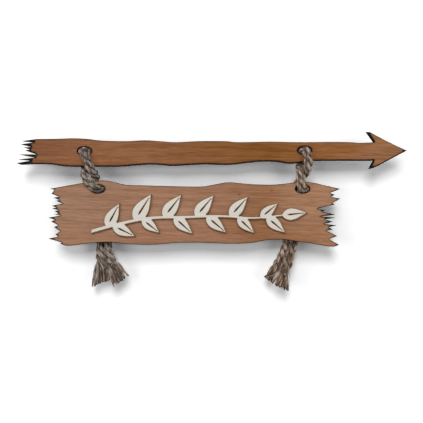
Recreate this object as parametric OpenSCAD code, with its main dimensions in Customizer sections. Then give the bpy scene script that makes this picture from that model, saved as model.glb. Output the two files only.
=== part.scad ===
// Pointer sign: a laser-cut plywood arrow slat, and a name board with torn-looking ends
// hung below it on two laid ropes. Millimetres, +Z up. The sign faces -Y and hangs on two
// keyhole hangers. The origin lies midway between their holes, on the face next to the wall.

/* [Arrow slat] */
// Overall length, from the longest splinter on the left to the point of the arrow
slat_len = 410; // [340:1:500]
// Height of the slat near its broad left end
slat_h = 29.5; // [26:0.5:36]
// Length of the arrowhead, from its notch to the point
head_len = 34; // [26:1:48]
// Height of the arrowhead across the tips of its barbs
head_h = 39; // [32:1:52]
// Thickness of the plywood that the slat and the name board are cut from
ply_t = 6; // [5:0.5:8]

/* [Name board] */
// Overall width across the longest splinters
board_w = 307; // [290:1:340]
// Overall height across the crests of its waves
board_h = 69.5; // [62:0.5:84]
// Distance of the board's middle below the hanger holes
board_drop = 65.5; // [64:0.5:76]
// Distance of the board's middle to the left of the middle of the hangers
board_left = 18; // [14:1:22]

/* [Rope holes] */
// Width of the oval holes
hole_w = 15.4; // [14:0.2:18]
// Height of the oval holes
hole_h = 9.2; // [9:0.1:10]
// Distance of the slat's left hole from the middle of the hangers
left_hole = 133.5; // [130:0.5:138]
// Distance of the slat's right hole from the middle of the hangers
right_hole = 97.5; // [94:0.5:102]

/* [Ropes] */
// Diameter of the laid rope
rope_d = 9.2; // [8:0.1:9.6]
// Room between the rope and the wood that it lies on
rope_gap = 0.4; // [0.3:0.1:0.8]
// Half turns that the two legs make round each other in the half knot
knot_half_turns = 3; // [1:2:3]

/* [Leafy twig] */
// Thickness of the plywood that the twig is cut from
twig_t = 3; // [2:0.5:4]
// Length of the largest leaf
leaf_len = 34; // [26:1:38]
// Width of the largest leaf
leaf_w = 17; // [12:0.5:20]
// Width of the stem at its cut end
stem_w = 4.4; // [3:0.2:6]
// Width of the slit that marks each leaf's middle vein
vein_w = 1.5; // [1:0.1:2]

/* [Hangers] */
// Distance between the two hanger holes
hanger_span = 116; // [100:1:130]
// Height of the hanger's bridge above the back of the slat
stand_off = 4; // [3:0.5:6]
// Thickness of the hanger's steel
steel_t = 1.2; // [0.8:0.1:1.6]
// Radius of the round hole that the head of the wall screw goes through
entry_r = 4; // [3.5:0.1:4.5]
// Radius of the shank of the small screws that hold the hangers
screw_r = 1.3; // [1:0.1:1.6]

/* [Hidden] */
$fn = 48;
back = -stand_off;              // rear face of the slat and of the board
front = back - ply_t;           // front face of both
mid = back - ply_t / 2;         // middle plane of the plywood
kx = slat_len / 410;            // how the drawn outlines stretch with the sizes above
kz = slat_h / 29.5;
bx = board_w / 307;
bz = board_h / 69.5;
rope_r = rope_d / 2;
run = ply_t / 2 + rope_r + rope_gap;   // from the middle plane to a rope that lies on a face
knot_r = rope_r + 0.6;                 // radius at which the legs wind round each other
low_left = board_left + 101.5;         // the board's rope holes, left and right of the hangers
low_right = 113.5 - board_left;
low_z = 25.8 * bz - board_drop;        // height of the board's rope holes

// One point of a smooth curve through four neighbours, and the curve through a whole list
function bend(a, b, c, d, t) =
    0.5 * (2 * b + (c - a) * t + (2 * a - 5 * b + 4 * c - d) * t * t
           + (3 * b - a - 3 * c + d) * t * t * t);
function curve(p, n) = let (last = len(p) - 1) [
    for (i = [0 : last - 1]) for (j = [0 : n - 1])
        bend(p[max(i - 1, 0)], p[i], p[i + 1], p[min(i + 2, last)], j / n),
    p[last]];
function ellipse(w, h) = [for (i = [0 : 47]) [w / 2 * cos(7.5 * i), h / 2 * sin(7.5 * i)]];
function stretched(p, sx, sz) = [for (q = p) [q[0] * sx, q[1] * sz]];
function flipped(p) = [for (i = [len(p) - 1 : -1 : 0]) p[i]];
function unit(v) = v / norm(v);

// Arrow slat
// The wavy long edges, from left to right
slat_top = [[-184, 12.7], [-165, 12.8], [-146, 13.4], [-131, 12.8], [-118, 11.2], [-104, 10.6],
            [-88, 10.4], [-70, 11.3], [-52, 10.2], [-37, 9.3], [-14, 10.4], [14, 10.4],
            [28, 9.3], [62, 9.8], [92, 9.3], [126, 9.6], [145, 9.3], [156, 8.6], [169, 9.2]];
slat_low = [[-201, -14.2], [-185, -13.5], [-168, -14], [-159, -15.3], [-149, -16.2],
            [-120, -16.2], [-96, -16.1], [-81, -15], [-67, -13.9], [-56, -14.2], [-41, -15.4],
            [-25, -14.5], [-7, -13.7], [10, -14.3], [22, -14.1], [38, -12.2], [53, -10.8],
            [68, -11.1], [81, -13.1], [90, -12.5], [101, -10.7], [113, -10.1], [169, -10]];
// The splinters of the left end, from the lowest one up: tip and root alternate
splinters = [[-205, -12.7], [-189.5, -9.9], [-203, -8.9], [-185.5, -6.8], [-202.5, -3.5],
             [-184, -3.6], [-196, 0.7], [-191, 1.6], [-197.5, 3.8], [-189.5, 4.4],
             [-200.5, 7], [-186.5, 9.2], [-199, 10.5]];
// The arrowhead from its lower notch round to its upper one, with the point at the origin
head = [[-34.5, -10], [-39.6, -19.4], [-36, -18.6], [-29.8, -16], [-23.5, -12.4],
        [-17.2, -9.1], [0, 0], [-10.4, 4.7], [-23.9, 11.4], [-38.8, 19.4], [-42.2, 19.6],
        [-34.5, 9.3]];

function head_at() = [for (q = head)
    [205 * kx + q[0] * head_len / 34, 0.5 + q[1] * (q[1] > 15 || q[1] < -15 ? head_h / 39 : 1)]];

module slat_outline() {
    polygon(concat(
        stretched(curve(slat_low, 4), kx, kz), head_at(),
        flipped(stretched(curve(slat_top, 4), kx, kz)),
        flipped(stretched(splinters, kx, kz))));
}

module arrow_slat() {
    color("#8f5c36") difference() {
        translate([0, back, 0]) rotate([90, 0, 0]) linear_extrude(ply_t) difference() {
            slat_outline();
            translate([-left_hole, 0]) polygon(ellipse(hole_w, hole_h));
            translate([right_hole, 0.6]) polygon(ellipse(hole_w, hole_h));
        }
        for (s = screw_spots()) translate([s[0], back + 0.1, s[1]]) rotate([90, 0, 0])
            cylinder(r = screw_r + 0.05, h = 5.1);
    }
}

// Name board
board_top = [[-151.8, 25.9], [-135.5, 28.9], [-117, 32.1], [-102, 34.2], [-93.5, 34.5],
             [-84, 32.8], [-73, 30.2], [-55, 29.5], [-23, 28.6], [6, 28.2], [21, 30.4],
             [35, 32.7], [51, 31.5], [66, 30.4], [86, 30.4], [106, 32.5], [121, 32.8],
             [136.5, 29.6], [153, 25.7]];
board_low = [[-141, -31.6], [-135.5, -33.8], [-127, -33.7], [-117, -32.2], [-103, -30.8],
             [-87, -30.4], [-71, -32.2], [-50, -32.9], [-36, -32.5], [-17.5, -30.9], [6, -30.7],
             [36, -31.8], [58, -31.2], [74, -28.4], [91, -27.6], [106, -29.3], [121, -31.3],
             [136.5, -34.1], [146.5, -34.9], [151.6, -32.8]];
// Splinters of the left end from the top down, and of the right end from the bottom up
left_torn = [[-147.2, 24.7], [-150.3, 20.7], [-142.4, 17.5], [-148.3, 16.6], [-141.9, 14],
             [-145.6, 13.4], [-138.4, 10.2], [-150, 8.1], [-145, 6.1], [-150, 5.3],
             [-142.4, 3.2], [-147.2, 2.7], [-142.9, 0], [-147.7, -0.8], [-140.3, -2.1],
             [-153.6, -4.5], [-146.2, -7], [-151, -8.2], [-143.1, -12.5], [-147.7, -14.4],
             [-141, -18.7], [-146.2, -22.2], [-143.1, -24.3], [-153.6, -26.5], [-139.2, -30.6]];
right_torn = [[141.4, -27], [150, -23.8], [138.2, -18], [145.4, -16.9], [140.9, -14.5],
              [149.4, -12.5], [135.3, -10.9], [145.4, -8.9], [136.9, -6.2], [149, -4.5],
              [131.9, -3.2], [148.2, -1.2], [133.9, 1.9], [137.4, 3.3], [128.8, 5],
              [147.6, 9.4], [144.9, 10.9], [153.4, 15.6], [143.4, 17.4], [147.4, 19.6],
              [142.3, 21.4]];

module board_outline() {
    polygon(stretched(concat(
        curve(board_low, 4), right_torn, flipped(curve(board_top, 4)), left_torn), bx, bz));
}

module name_board() {
    color("#9f7559") translate([-board_left, back, -board_drop]) rotate([90, 0, 0])
        linear_extrude(ply_t) difference() {
            board_outline();
            translate([board_left - low_left, low_z + board_drop]) polygon(ellipse(hole_w, hole_h));
            translate([board_left + low_right, low_z + board_drop])
                polygon(ellipse(hole_w, hole_h));
        }
}

// Leafy twig, glued on the board
stem = [[-108, -19], [-78, -11], [-46, -5], [-10, -4], [28, -3], [62, -5], [92, -2]];
// Each leaf: where it springs from the stem (0 to 1), its lean from +X, and its size
leaves = [[0.10, 62, 0.86], [0.13, -26, 0.8], [0.25, 58, 1], [0.29, -38, 0.72],
          [0.40, 52, 0.92], [0.45, -42, 0.8], [0.55, 50, 0.9], [0.60, -40, 0.82],
          [0.71, 48, 0.86], [0.75, -44, 0.74], [0.87, 40, 0.72], [0.90, -40, 0.78],
          [1, 6, 0.8]];

function on_stem(t) = let (s = t * (len(stem) - 1), i = min(floor(s), len(stem) - 2))
    bend(stem[max(i - 1, 0)], stem[i], stem[i + 1], stem[min(i + 2, len(stem) - 1)], s - i);
// Half the width of a birch-like leaf, broad near its foot and drawn out to a point
function leaf_side(u) = leaf_w / 2 * sin(180 * pow(u, 0.72)) * (1 - 0.12 * u);

module leaf() {
    difference() {
        polygon(concat(
            [for (i = [0 : 16]) [leaf_len * i / 16, leaf_side(i / 16)]],
            [for (i = [15 : -1 : 1]) [leaf_len * i / 16, -leaf_side(i / 16)]]));
        polygon([[leaf_len * 0.24, 0], [leaf_len * 0.34, vein_w / 2],
                 [leaf_len * 0.84, 0], [leaf_len * 0.34, -vein_w / 2]]);
    }
}

module twig_outline() {
    n = 36;
    polygon(concat(
        [for (i = [0 : n]) let (p = on_stem(i / n)) p + [0, stem_w / 2 * (1 - 0.5 * i / n)]],
        [for (i = [n : -1 : 0]) let (p = on_stem(i / n)) p - [0, stem_w / 2 * (1 - 0.5 * i / n)]]));
    for (l = leaves) translate(on_stem(l[0])) rotate(l[1]) scale(l[2]) translate([-1, 0]) leaf();
}

module leafy_twig() {
    color("#d9d2c0") translate([-board_left, front, -board_drop]) rotate([90, 0, 0])
        linear_extrude(twig_t) twig_outline();
}

// Ropes
// A station of a rope is [x, level, height, width, depth, skew]. The level is -1 on the front
// face, 0 in the middle of the plywood, 1 on the rear face, and one more for each rope radius
// behind that. Width and depth are shares of the rope's radius, and skew slants a cut end.
function at_level(l) = mid + run * min(max(l, -1), 1) + rope_r * max(l - 1, 0);
// Heights follow the slat, the gap and the board when their sizes change
function at_height(z) = lookup(z, [
    [-150, low_z - 110.3], [-98, low_z - 58.3 * bz], [-39.8, low_z], [-31, low_z + 8.8 * bz],
    [-16.2, -16.2 * kz], [0, 0], [10, 10]]);
function seated(p, dx_top, dx_low) = [for (q = p) [
    q[0] + lookup(q[2], [[-40, dx_low], [0, dx_top]]), at_level(q[1]), at_height(q[2]),
    q[3] * rope_r, q[4] * rope_r, len(q) > 5 ? q[5] : 0]];
// One leg of the half knot: it winds about a line that runs down the back of the board
function knot(top, low, start, steps) = [for (i = [0 : steps]) let (
    t = i / steps, a = start + 180 * knot_half_turns * t, c = top + (low - top) * t)
    [c[0] + knot_r * cos(a), at_level(1) + knot_r * (1 + sin(a)), at_height(c[1]),
     rope_r * 0.98, rope_r * 0.98, 0]];

module tube(p, sides) {
    n = len(p);
    pts = [for (i = [0 : n - 1]) let (
        t = unit([for (k = [0 : 2]) p[min(i + 1, n - 1)][k] - p[max(i - 1, 0)][k]]),
        u = unit([1, 0, 0] - t[0] * t), v = cross(t, u), c = [p[i][0], p[i][1], p[i][2]])
        for (k = [0 : sides - 1]) let (a = 360 * k / sides)
            c + p[i][3] * cos(a) * (u + p[i][5] * t) + p[i][4] * sin(a) * v];
    polyhedron(pts, concat(
        [[for (k = [0 : sides - 1]) k]],
        [for (i = [0 : n - 2]) for (k = [0 : sides - 1]) let (
            a = i * sides + k, b = i * sides + (k + 1) % sides) each
            [[a, a + sides, b], [b, a + sides, b + sides]]],
        [[for (k = [sides - 1 : -1 : 0]) (n - 1) * sides + k]]));
}

// Left rope: from the frayed end of its first leg up behind the board, over the slat and back
left_tail_a = [[-96.6, 1, -136.7, 2.1, 0.72, 0.12], [-99.6, 1, -130, 1.87, 0.76],
               [-103.3, 1, -122.5, 1.6, 0.8], [-106.9, 1.05, -115.5, 1.18, 0.86],
               [-109.6, 1.1, -109, 0.98, 0.92], [-110.6, 1.25, -103, 0.94, 0.95],
               [-110.7, 1.5, -97, 0.92, 0.98]];
left_leg_a = [[-121.8, 2, -47, 1, 1], [-124.6, 1.7, -43.6, 1, 1], [-125.4, 1.3, -39.4, 1, 1],
              [-124.2, 1.1, -35, 1, 1], [-122.2, 1, -30.9, 1, 1], [-122.1, 0.76, -27.6, 1, 1],
              [-122.7, 0.3, -25.1, 1, 1], [-123.9, -0.2, -22.6, 0.98, 1], [-125.5, -0.75, -20.2, 0.98, 1],
              [-127.3, -0.97, -17.4, 1, 1], [-129, -1, -14, 1, 1], [-130.6, -1, -9.5, 1.02, 1],
              [-131.8, -1, -5.2, 1.04, 1], [-132.4, -0.82, -1.7, 1.06, 0.96],
              [-133, -0.45, -0.1, 1.06, 0.9]];
left_leg_b = [[-133.4, 0, 0.1, 1.04, 0.88], [-133.7, 0.45, -0.1, 1, 0.9], [-134, 0.82, -1.7, 1, 0.96],
              [-134.2, 1, -5.2, 1, 1], [-134.3, 1, -9.5, 1, 1], [-134.4, 1, -14, 1, 1],
              [-134.5, 0.97, -17.4, 1, 1], [-134.5, 0.75, -20.2, 0.98, 1],
              [-134.1, 0.2, -22.6, 0.98, 1], [-133.6, -0.3, -25.1, 0.98, 1],
              [-132.5, -0.76, -27.6, 1, 1], [-130, -1, -30.9, 1, 1],
              [-127, -1.02, -34.2, 1, 1], [-124.1, -0.98, -37.2, 1, 0.96],
              [-121.5, -0.64, -39.3, 1, 0.9], [-119.2, -0.05, -39.8, 1, 0.87],
              [-117.2, 0.52, -39.9, 1, 0.9], [-115.4, 1.04, -41, 1, 0.96],
              [-112.6, 1.6, -43.4, 1, 1], [-110.2, 1.92, -46.4, 1, 1]];
left_tail_b = [[-119.5, 1.8, -97, 0.9, 0.98], [-119.9, 1.55, -105.7, 0.95, 0.95],
               [-119, 1.35, -117, 1.4, 0.86], [-118.5, 1.3, -127, 1.75, 0.8, -0.15],
               [-117.6, 1.3, -139.8, 1.95, 0.72, -0.47]];

// Right rope, in the same order. Its knot slants towards the middle of the sign
right_tail_a = [[73, 0.75, -143, 1.95, 0.72, -0.25], [75.9, 0.75, -131, 1.5, 0.76, -0.1],
                [79.2, 0.8, -122, 1.3, 0.82], [82.5, 0.9, -113, 1.08, 0.88],
                [86, 1.2, -103, 0.94, 0.95], [87.8, 1.6, -97, 0.9, 0.98]];
right_leg_a = [[85.6, 2, -46.6, 1, 1], [85.5, 1.8, -42, 1, 1], [86.9, 1.5, -37.6, 1, 1],
               [89.6, 1.25, -34.1, 1, 1], [92.9, 1, -30.8, 1, 1], [96, 0.9, -27.4, 0.92, 0.94],
               [98.5, 0.65, -24.4, 0.88, 0.9], [100.1, 0.25, -21.8, 0.86, 0.9],
               [100.7, -0.25, -19.2, 0.86, 0.92], [101, -0.78, -16, 0.94, 0.96],
               [101, -1, -12.4, 1, 1], [100.6, -1, -8.5, 1, 1], [99.8, -1, -4.2, 1, 1],
               [98.9, -0.82, -0.9, 1, 0.96], [97.9, -0.45, 0.5, 1, 0.9]];
right_leg_b = [[96.6, 0, 0.7, 1, 0.88], [95.4, 0.45, 0.6, 1, 0.9], [94.5, 0.95, -0.9, 1, 0.94],
               [93.7, 1.1, -4.6, 1, 1], [93, 1.05, -8.9, 1, 1], [92.6, 1, -12.4, 1, 1],
               [92.4, 0.78, -16, 0.94, 0.96], [92.2, 0.25, -19.2, 0.86, 0.92],
               [92.2, -0.25, -21.8, 0.86, 0.9], [92.5, -0.65, -24.4, 0.88, 0.9],
               [92.9, -0.9, -27.6, 0.94, 0.96], [93.4, -1, -31.6, 1, 1],
               [93.9, -0.99, -35.7, 1, 0.98], [94.7, -0.72, -38.8, 1, 0.92],
               [95.8, -0.1, -39.9, 1, 0.87], [97, 0.5, -40.1, 1, 0.9],
               [97.6, 0.97, -41.5, 1, 0.96], [97.2, 1.6, -45, 1, 1]];
right_tail_b = [[79, 1.95, -97, 0.9, 0.98], [76.5, 1.85, -105, 0.93, 0.95],
                [73, 1.8, -112.5, 1, 0.9], [69.8, 1.75, -120, 1.05, 0.85],
                [65.5, 1.7, -127.5, 1.22, 0.8], [60.6, 1.7, -135, 1.5, 0.72, 0.07]];

module rope(tail_a, leg_a, leg_b, tail_b, knot_top, knot_low, dx_top, dx_low) {
    shift = [dx_low, 0];
    color("#6e6157") tube(curve(concat(
        seated(tail_a, dx_top, dx_low),
        flipped(knot(knot_top + shift, knot_low + shift, 180, 9)),
        seated(leg_a, dx_top, dx_low), seated(leg_b, dx_top, dx_low),
        knot(knot_top + shift, knot_low + shift, 0, 9),
        seated(tail_b, dx_top, dx_low)), 2), 10);
}

// Places of the rope holes for which the stations above are drawn, from the hangers' middle
drawn_left = [133.5, 119.5];    // in the slat and in the board, left of the middle
drawn_right = [97.5, 95.5];     // the same, right of the middle

module left_rope() {
    rope(left_tail_a, left_leg_a, left_leg_b, left_tail_b, [-114.6, -50], [-115.2, -90],
         drawn_left[0] - left_hole, drawn_left[1] - low_left);
}

module right_rope() {
    rope(right_tail_a, right_leg_a, right_leg_b, right_tail_b, [91, -50], [85, -90],
         right_hole - drawn_right[0], low_right - drawn_right[1]);
}

// Hangers
tab_x = 16.5;   // from the middle of a hanger to its screws
tab_z = 1.5;    // height of the screws above the hanger's round hole
function screw_spots() = [for (x = [-hanger_span / 2, hanger_span / 2]) for (s = [-1, 1])
    [x + s * tab_x, tab_z]];

// A strap bent into a bridge, with a keyhole in its raised middle
module hanger(x) {
    color("#b9bcc0") difference() {
        translate([x, back, tab_z]) linear_extrude(15, center = true) polygon([
            [-21, 0], [-12.5, 0], [-8.5, stand_off - steel_t], [8.5, stand_off - steel_t],
            [12.5, 0], [21, 0], [21, steel_t], [13, steel_t], [9, stand_off],
            [-9, stand_off], [-13, steel_t], [-21, steel_t]]);
        translate([x, 1, 0]) rotate([90, 0, 0]) cylinder(r = entry_r, h = steel_t + 2);
        translate([x, 1, 0]) rotate([90, 0, 0]) linear_extrude(steel_t + 2) {
            translate([-entry_r / 2, 0]) square([entry_r, entry_r + 1.5]);
            translate([0, entry_r + 1.5]) circle(r = entry_r / 2);
        }
        for (s = [-1, 1]) translate([x + s * tab_x, back + steel_t + 1, tab_z])
            rotate([90, 0, 0]) cylinder(r = screw_r + 0.2, h = steel_t + 2);
    }
}

module left_hanger() hanger(-hanger_span / 2);
module right_hanger() hanger(hanger_span / 2);

module hanger_screws() {
    color("#c9b678") for (s = screw_spots()) translate([s[0], back + steel_t, s[1]])
        rotate([90, 0, 0]) rotate_extrude() polygon([
            [0, -1.5], [1.5, -1.4], [2.3, -0.9], [2.6, 0], [screw_r, 0],
            [screw_r, steel_t + 3.6], [0, steel_t + 4.8]]);
}

arrow_slat();
name_board();
leafy_twig();
left_rope();
right_rope();
left_hanger();
right_hanger();
hanger_screws();
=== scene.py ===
"""Looks of the hanging arrow sign: wood, twig, ropes, hangers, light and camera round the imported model."""

import logging
import math
from dataclasses import dataclass
from enum import Enum

import bpy
import numpy as np
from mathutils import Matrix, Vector
from mathutils.geometry import delaunay_2d_cdt


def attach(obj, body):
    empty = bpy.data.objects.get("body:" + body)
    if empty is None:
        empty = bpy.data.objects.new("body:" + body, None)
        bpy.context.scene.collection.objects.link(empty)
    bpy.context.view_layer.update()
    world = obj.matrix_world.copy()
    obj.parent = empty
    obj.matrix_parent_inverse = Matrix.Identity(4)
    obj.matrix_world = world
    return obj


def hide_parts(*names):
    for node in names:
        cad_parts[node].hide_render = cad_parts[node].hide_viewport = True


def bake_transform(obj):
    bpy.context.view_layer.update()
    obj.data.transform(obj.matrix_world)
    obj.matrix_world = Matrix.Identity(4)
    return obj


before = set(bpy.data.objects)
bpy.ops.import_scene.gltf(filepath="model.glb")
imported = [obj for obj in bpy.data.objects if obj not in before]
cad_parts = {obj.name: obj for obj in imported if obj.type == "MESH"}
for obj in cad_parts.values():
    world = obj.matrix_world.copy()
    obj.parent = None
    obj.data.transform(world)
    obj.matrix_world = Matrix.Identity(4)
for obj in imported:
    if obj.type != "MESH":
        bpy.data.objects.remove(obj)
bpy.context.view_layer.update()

logging.basicConfig(level=logging.INFO, format="%(message)s")
LOG = logging.getLogger("arrow_sign")

MM = 0.001
BLOCK = 2000        # points that are tested against an outline at a time
ENLARGED = 100.0    # factor on a face while it is cut into triangles, so that close points stay apart
Array = np.ndarray
Colour = tuple[float, float, float]


def to_linear(red: int, green: int, blue: int) -> Colour:
    """Turns a colour as seen on a screen, 0 to 255, into the renderer's linear one.

    Args:
        red: Red, 0 to 255.
        green: Green, 0 to 255.
        blue: Blue, 0 to 255.

    Returns:
        The same colour with linear channels from 0 to 1.
    """
    return tuple(((c / 255 + 0.055) / 1.055) ** 2.4 if c > 10 else c / 3294.6 for c in (red, green, blue))


class Body(Enum):
    """The two rigid bodies of the sign."""

    ARROW = "arrow"
    BOARD = "board"


# ---------------------------------------------------------------- shader nodes


class Graph:
    """A shader node tree with short calls for adding and joining its nodes."""

    def __init__(self, tree: bpy.types.NodeTree) -> None:
        """Keeps the tree.

        Args:
            tree: Node tree that the calls add to.
        """
        self.tree = tree

    def add(self, kind: str, settings: dict | None = None, **inputs: object) -> bpy.types.Node:
        """Adds a node, sets its properties and sets or links its inputs.

        Args:
            kind: Class name of the node without its prefix ShaderNode.
            settings: Properties of the node by name.
            **inputs: Values or output sockets by input name, with _ for a space; in0, in1 go by place.

        Returns:
            The new node.
        """
        node = self.tree.nodes.new("ShaderNode" + kind)
        for key, value in (settings or {}).items():
            setattr(node, key, value)
        for key, value in inputs.items():
            place = key[2:] if key.startswith("in") and key[2:].isdigit() else None
            socket = node.inputs[int(place)] if place else node.inputs[key.replace("_", " ")]
            self.put(socket, value)
        return node

    def put(self, socket: bpy.types.NodeSocket, value: object) -> None:
        """Links an output to a socket, or sets the socket's own value.

        Args:
            socket: Input socket.
            value: Output socket, number, or sequence of numbers.
        """
        if isinstance(value, bpy.types.NodeSocket):
            self.tree.links.new(value, socket)
        elif hasattr(value, "__len__") and socket.type == "RGBA" and len(value) == 3:
            socket.default_value = (*value, 1.0)
        else:
            socket.default_value = value

    def math(self, operation: str, a: object, b: object = 0.0, clamp: bool = False) -> bpy.types.NodeSocket:
        """Adds a Math node.

        Args:
            operation: Name of the operation.
            a: First value or socket.
            b: Second value or socket.
            clamp: Whether the result is kept from 0 to 1.

        Returns:
            Its output.
        """
        return self.add("Math", {"operation": operation, "use_clamp": clamp}, in0=a, in1=b).outputs[0]

    def ranged(self, value: object, low: float, high: float, to_low: float = 0.0,
               to_high: float = 1.0) -> bpy.types.NodeSocket:
        """Maps a range smoothly onto another.

        Args:
            value: Value or socket to map.
            low: Value that gives to_low.
            high: Value that gives to_high.
            to_low: Result at low.
            to_high: Result at high.

        Returns:
            The mapped output.
        """
        node = self.add("MapRange", {"interpolation_type": "SMOOTHSTEP"}, Value=value)
        for name, number in (("From Min", low), ("From Max", high), ("To Min", to_low), ("To Max", to_high)):
            node.inputs[name].default_value = number
        return node.outputs["Result"]

    def mixed(self, share: object, a: object, b: object, blend: str = "MIX") -> bpy.types.NodeSocket:
        """Mixes two colours.

        Args:
            share: Share of b, from 0 to 1.
            a: First colour or socket.
            b: Second colour or socket.
            blend: Blend mode.

        Returns:
            The mixed colour.
        """
        node = self.add("Mix", {"data_type": "RGBA", "blend_type": blend})
        self.put(node.inputs[0], share)
        self.put(node.inputs[6], a)
        self.put(node.inputs[7], b)
        return node.outputs[2]

    def noise(self, vector: object, scale: float, detail: float = 3.0, rough: float = 0.55) -> bpy.types.NodeSocket:
        """Adds a noise texture.

        Args:
            vector: Place at which it is read.
            scale: Its scale.
            detail: Its number of octaves.
            rough: Its roughness.

        Returns:
            Its value, from 0 to 1.
        """
        node = self.add("TexNoise", {}, Vector=vector, Scale=scale, Detail=detail, Roughness=rough)
        return node.outputs["Fac"]

    def stretched(self, vector: object, scale: tuple[float, float, float],
                  shift: object = (0.0, 0.0, 0.0)) -> bpy.types.NodeSocket:
        """Scales and shifts a place.

        Args:
            vector: Place to change.
            scale: Factor for each axis.
            shift: Added after the scaling.

        Returns:
            The changed place.
        """
        return self.add("VectorMath", {"operation": "MULTIPLY_ADD"}, in0=vector, in1=scale, in2=shift).outputs[0]

    def place(self) -> bpy.types.NodeSocket:
        """Gives the place on the object, in metres."""
        return self.add("TexCoord").outputs["Object"]

    def attribute(self, name: str, output: str = "Fac") -> bpy.types.NodeSocket:
        """Reads an attribute of the mesh."""
        return self.add("Attribute", {"attribute_name": name}).outputs[output]

    def dress(self, shader: bpy.types.Node, colour: object, rough: object, specular: float,
              relief: tuple[object, float, float]) -> None:
        """Feeds a Principled shader.

        Args:
            shader: The shader.
            colour: Its colour.
            rough: Its roughness.
            specular: Its specular level, the same all over.
            relief: Height, strength and depth in metres of its Bump node.
        """
        self.put(shader.inputs["Base Color"], colour)
        self.put(shader.inputs["Roughness"], rough)
        shader.inputs["Specular IOR Level"].default_value = specular
        height, strength, depth = relief
        bump = self.add("Bump", {}, Strength=strength, Distance=depth, Height=height)
        self.put(shader.inputs["Normal"], bump.outputs[0])


def new_group(name: str, inputs: dict[str, float | None],
              outputs: tuple[str, ...]) -> tuple[Graph, bpy.types.Node, bpy.types.Node]:
    """Starts a shader node group with named sockets.

    Args:
        name: Name of the group.
        inputs: Default of each number by name, or None for a vector.
        outputs: Names of the numbers that it puts out.

    Returns:
        The group's graph, its input node and its output node.
    """
    tree = bpy.data.node_groups.new(name, "ShaderNodeTree")
    for label, default in inputs.items():
        kind = "NodeSocketVector" if default is None else "NodeSocketFloat"
        socket = tree.interface.new_socket(label, in_out="INPUT", socket_type=kind)
        if default is not None:
            socket.default_value = default
    for label in outputs:
        tree.interface.new_socket(label, in_out="OUTPUT", socket_type="NodeSocketFloat")
    return Graph(tree), tree.nodes.new("NodeGroupInput"), tree.nodes.new("NodeGroupOutput")


def grain_group() -> bpy.types.NodeTree:
    """Builds the grain of a plank whose fibres run along X.

    Returns:
        Group with a Grain, a Pores, a Drift and a Height output, each from 0 to 1.
    """
    g, source, sink = new_group(
        "plank_grain", {"Place": None, "Slant": 0.0, "Wander": 0.0015, "Seed": 0.0},
        ("Grain", "Pores", "Drift", "Height"))
    place = source.outputs["Place"]
    x, y, z = g.add("SeparateXYZ", {}, Vector=place).outputs
    sway = g.noise(g.stretched(place, (9.0, 0.0, 14.0)), 1.0, 2.0)
    sway = g.math("MULTIPLY", g.math("SUBTRACT", sway, 0.5), source.outputs["Wander"])
    level = g.math("ADD", z, g.math("MULTIPLY", x, source.outputs["Slant"]))
    level = g.math("ADD", level, g.math("MULTIPLY", sway, 2.0))
    seeded = g.add("CombineXYZ", {}, X=x, Y=g.math("ADD", y, source.outputs["Seed"]), Z=level).outputs[0]
    bands = g.noise(g.stretched(seeded, (5.0, 3.0, 190.0)), 1.0, 2.0)
    lines = g.noise(g.stretched(seeded, (18.0, 5.0, 480.0)), 1.0, 2.0, 0.65)
    fine = g.noise(g.stretched(seeded, (55.0, 9.0, 760.0)), 1.0, 2.0, 0.8)
    grain = g.math("ADD", g.math("MULTIPLY", bands, 0.2), g.math("MULTIPLY", lines, 0.36))
    grain = g.math("ADD", grain, g.math("MULTIPLY", fine, 0.44))
    pores = g.ranged(g.noise(g.stretched(seeded, (60.0, 9.0, 1900.0)), 1.0, 1.0), 0.6, 0.76)
    drift = g.noise(g.stretched(seeded, (7.0, 4.0, 26.0)), 1.0, 2.0)
    height = g.math("SUBTRACT", grain, g.math("MULTIPLY", pores, 0.35))
    g.put(sink.inputs["Grain"], g.ranged(grain, 0.3, 0.7))
    g.put(sink.inputs["Pores"], pores)
    g.put(sink.inputs["Drift"], g.ranged(drift, 0.3, 0.7))
    g.put(sink.inputs["Height"], height)
    return g.tree


def scorch_group() -> bpy.types.NodeTree:
    """Builds the burn that a laser leaves on a cut edge and beside it.

    Returns:
        Group that turns the mesh's burn value, which also carries painted shade beside edges facing down or right,
        into a Char and a Toast mask, and shows the plies as Layers.
    """
    g, source, sink = new_group(
        "laser_scorch", {"Burn": 0.0, "Place": None, "Raggedness": 0.25}, ("Char", "Toast", "Layers"))
    speckle = g.noise(source.outputs["Place"], 420.0, 3.0)
    shift = g.math("MULTIPLY", g.math("SUBTRACT", speckle, 0.5), source.outputs["Raggedness"])
    burn = g.math("ADD", source.outputs["Burn"], shift)
    g.put(sink.inputs["Char"], g.ranged(burn, 0.28, 0.62))
    g.put(sink.inputs["Toast"], g.ranged(burn, 0.04, 0.45))
    layers = g.add("TexWave", {"bands_direction": "Y"}, Vector=source.outputs["Place"], Scale=105.0, Distortion=1.2)
    g.put(sink.inputs["Layers"], layers.outputs["Fac"])
    return g.tree


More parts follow.
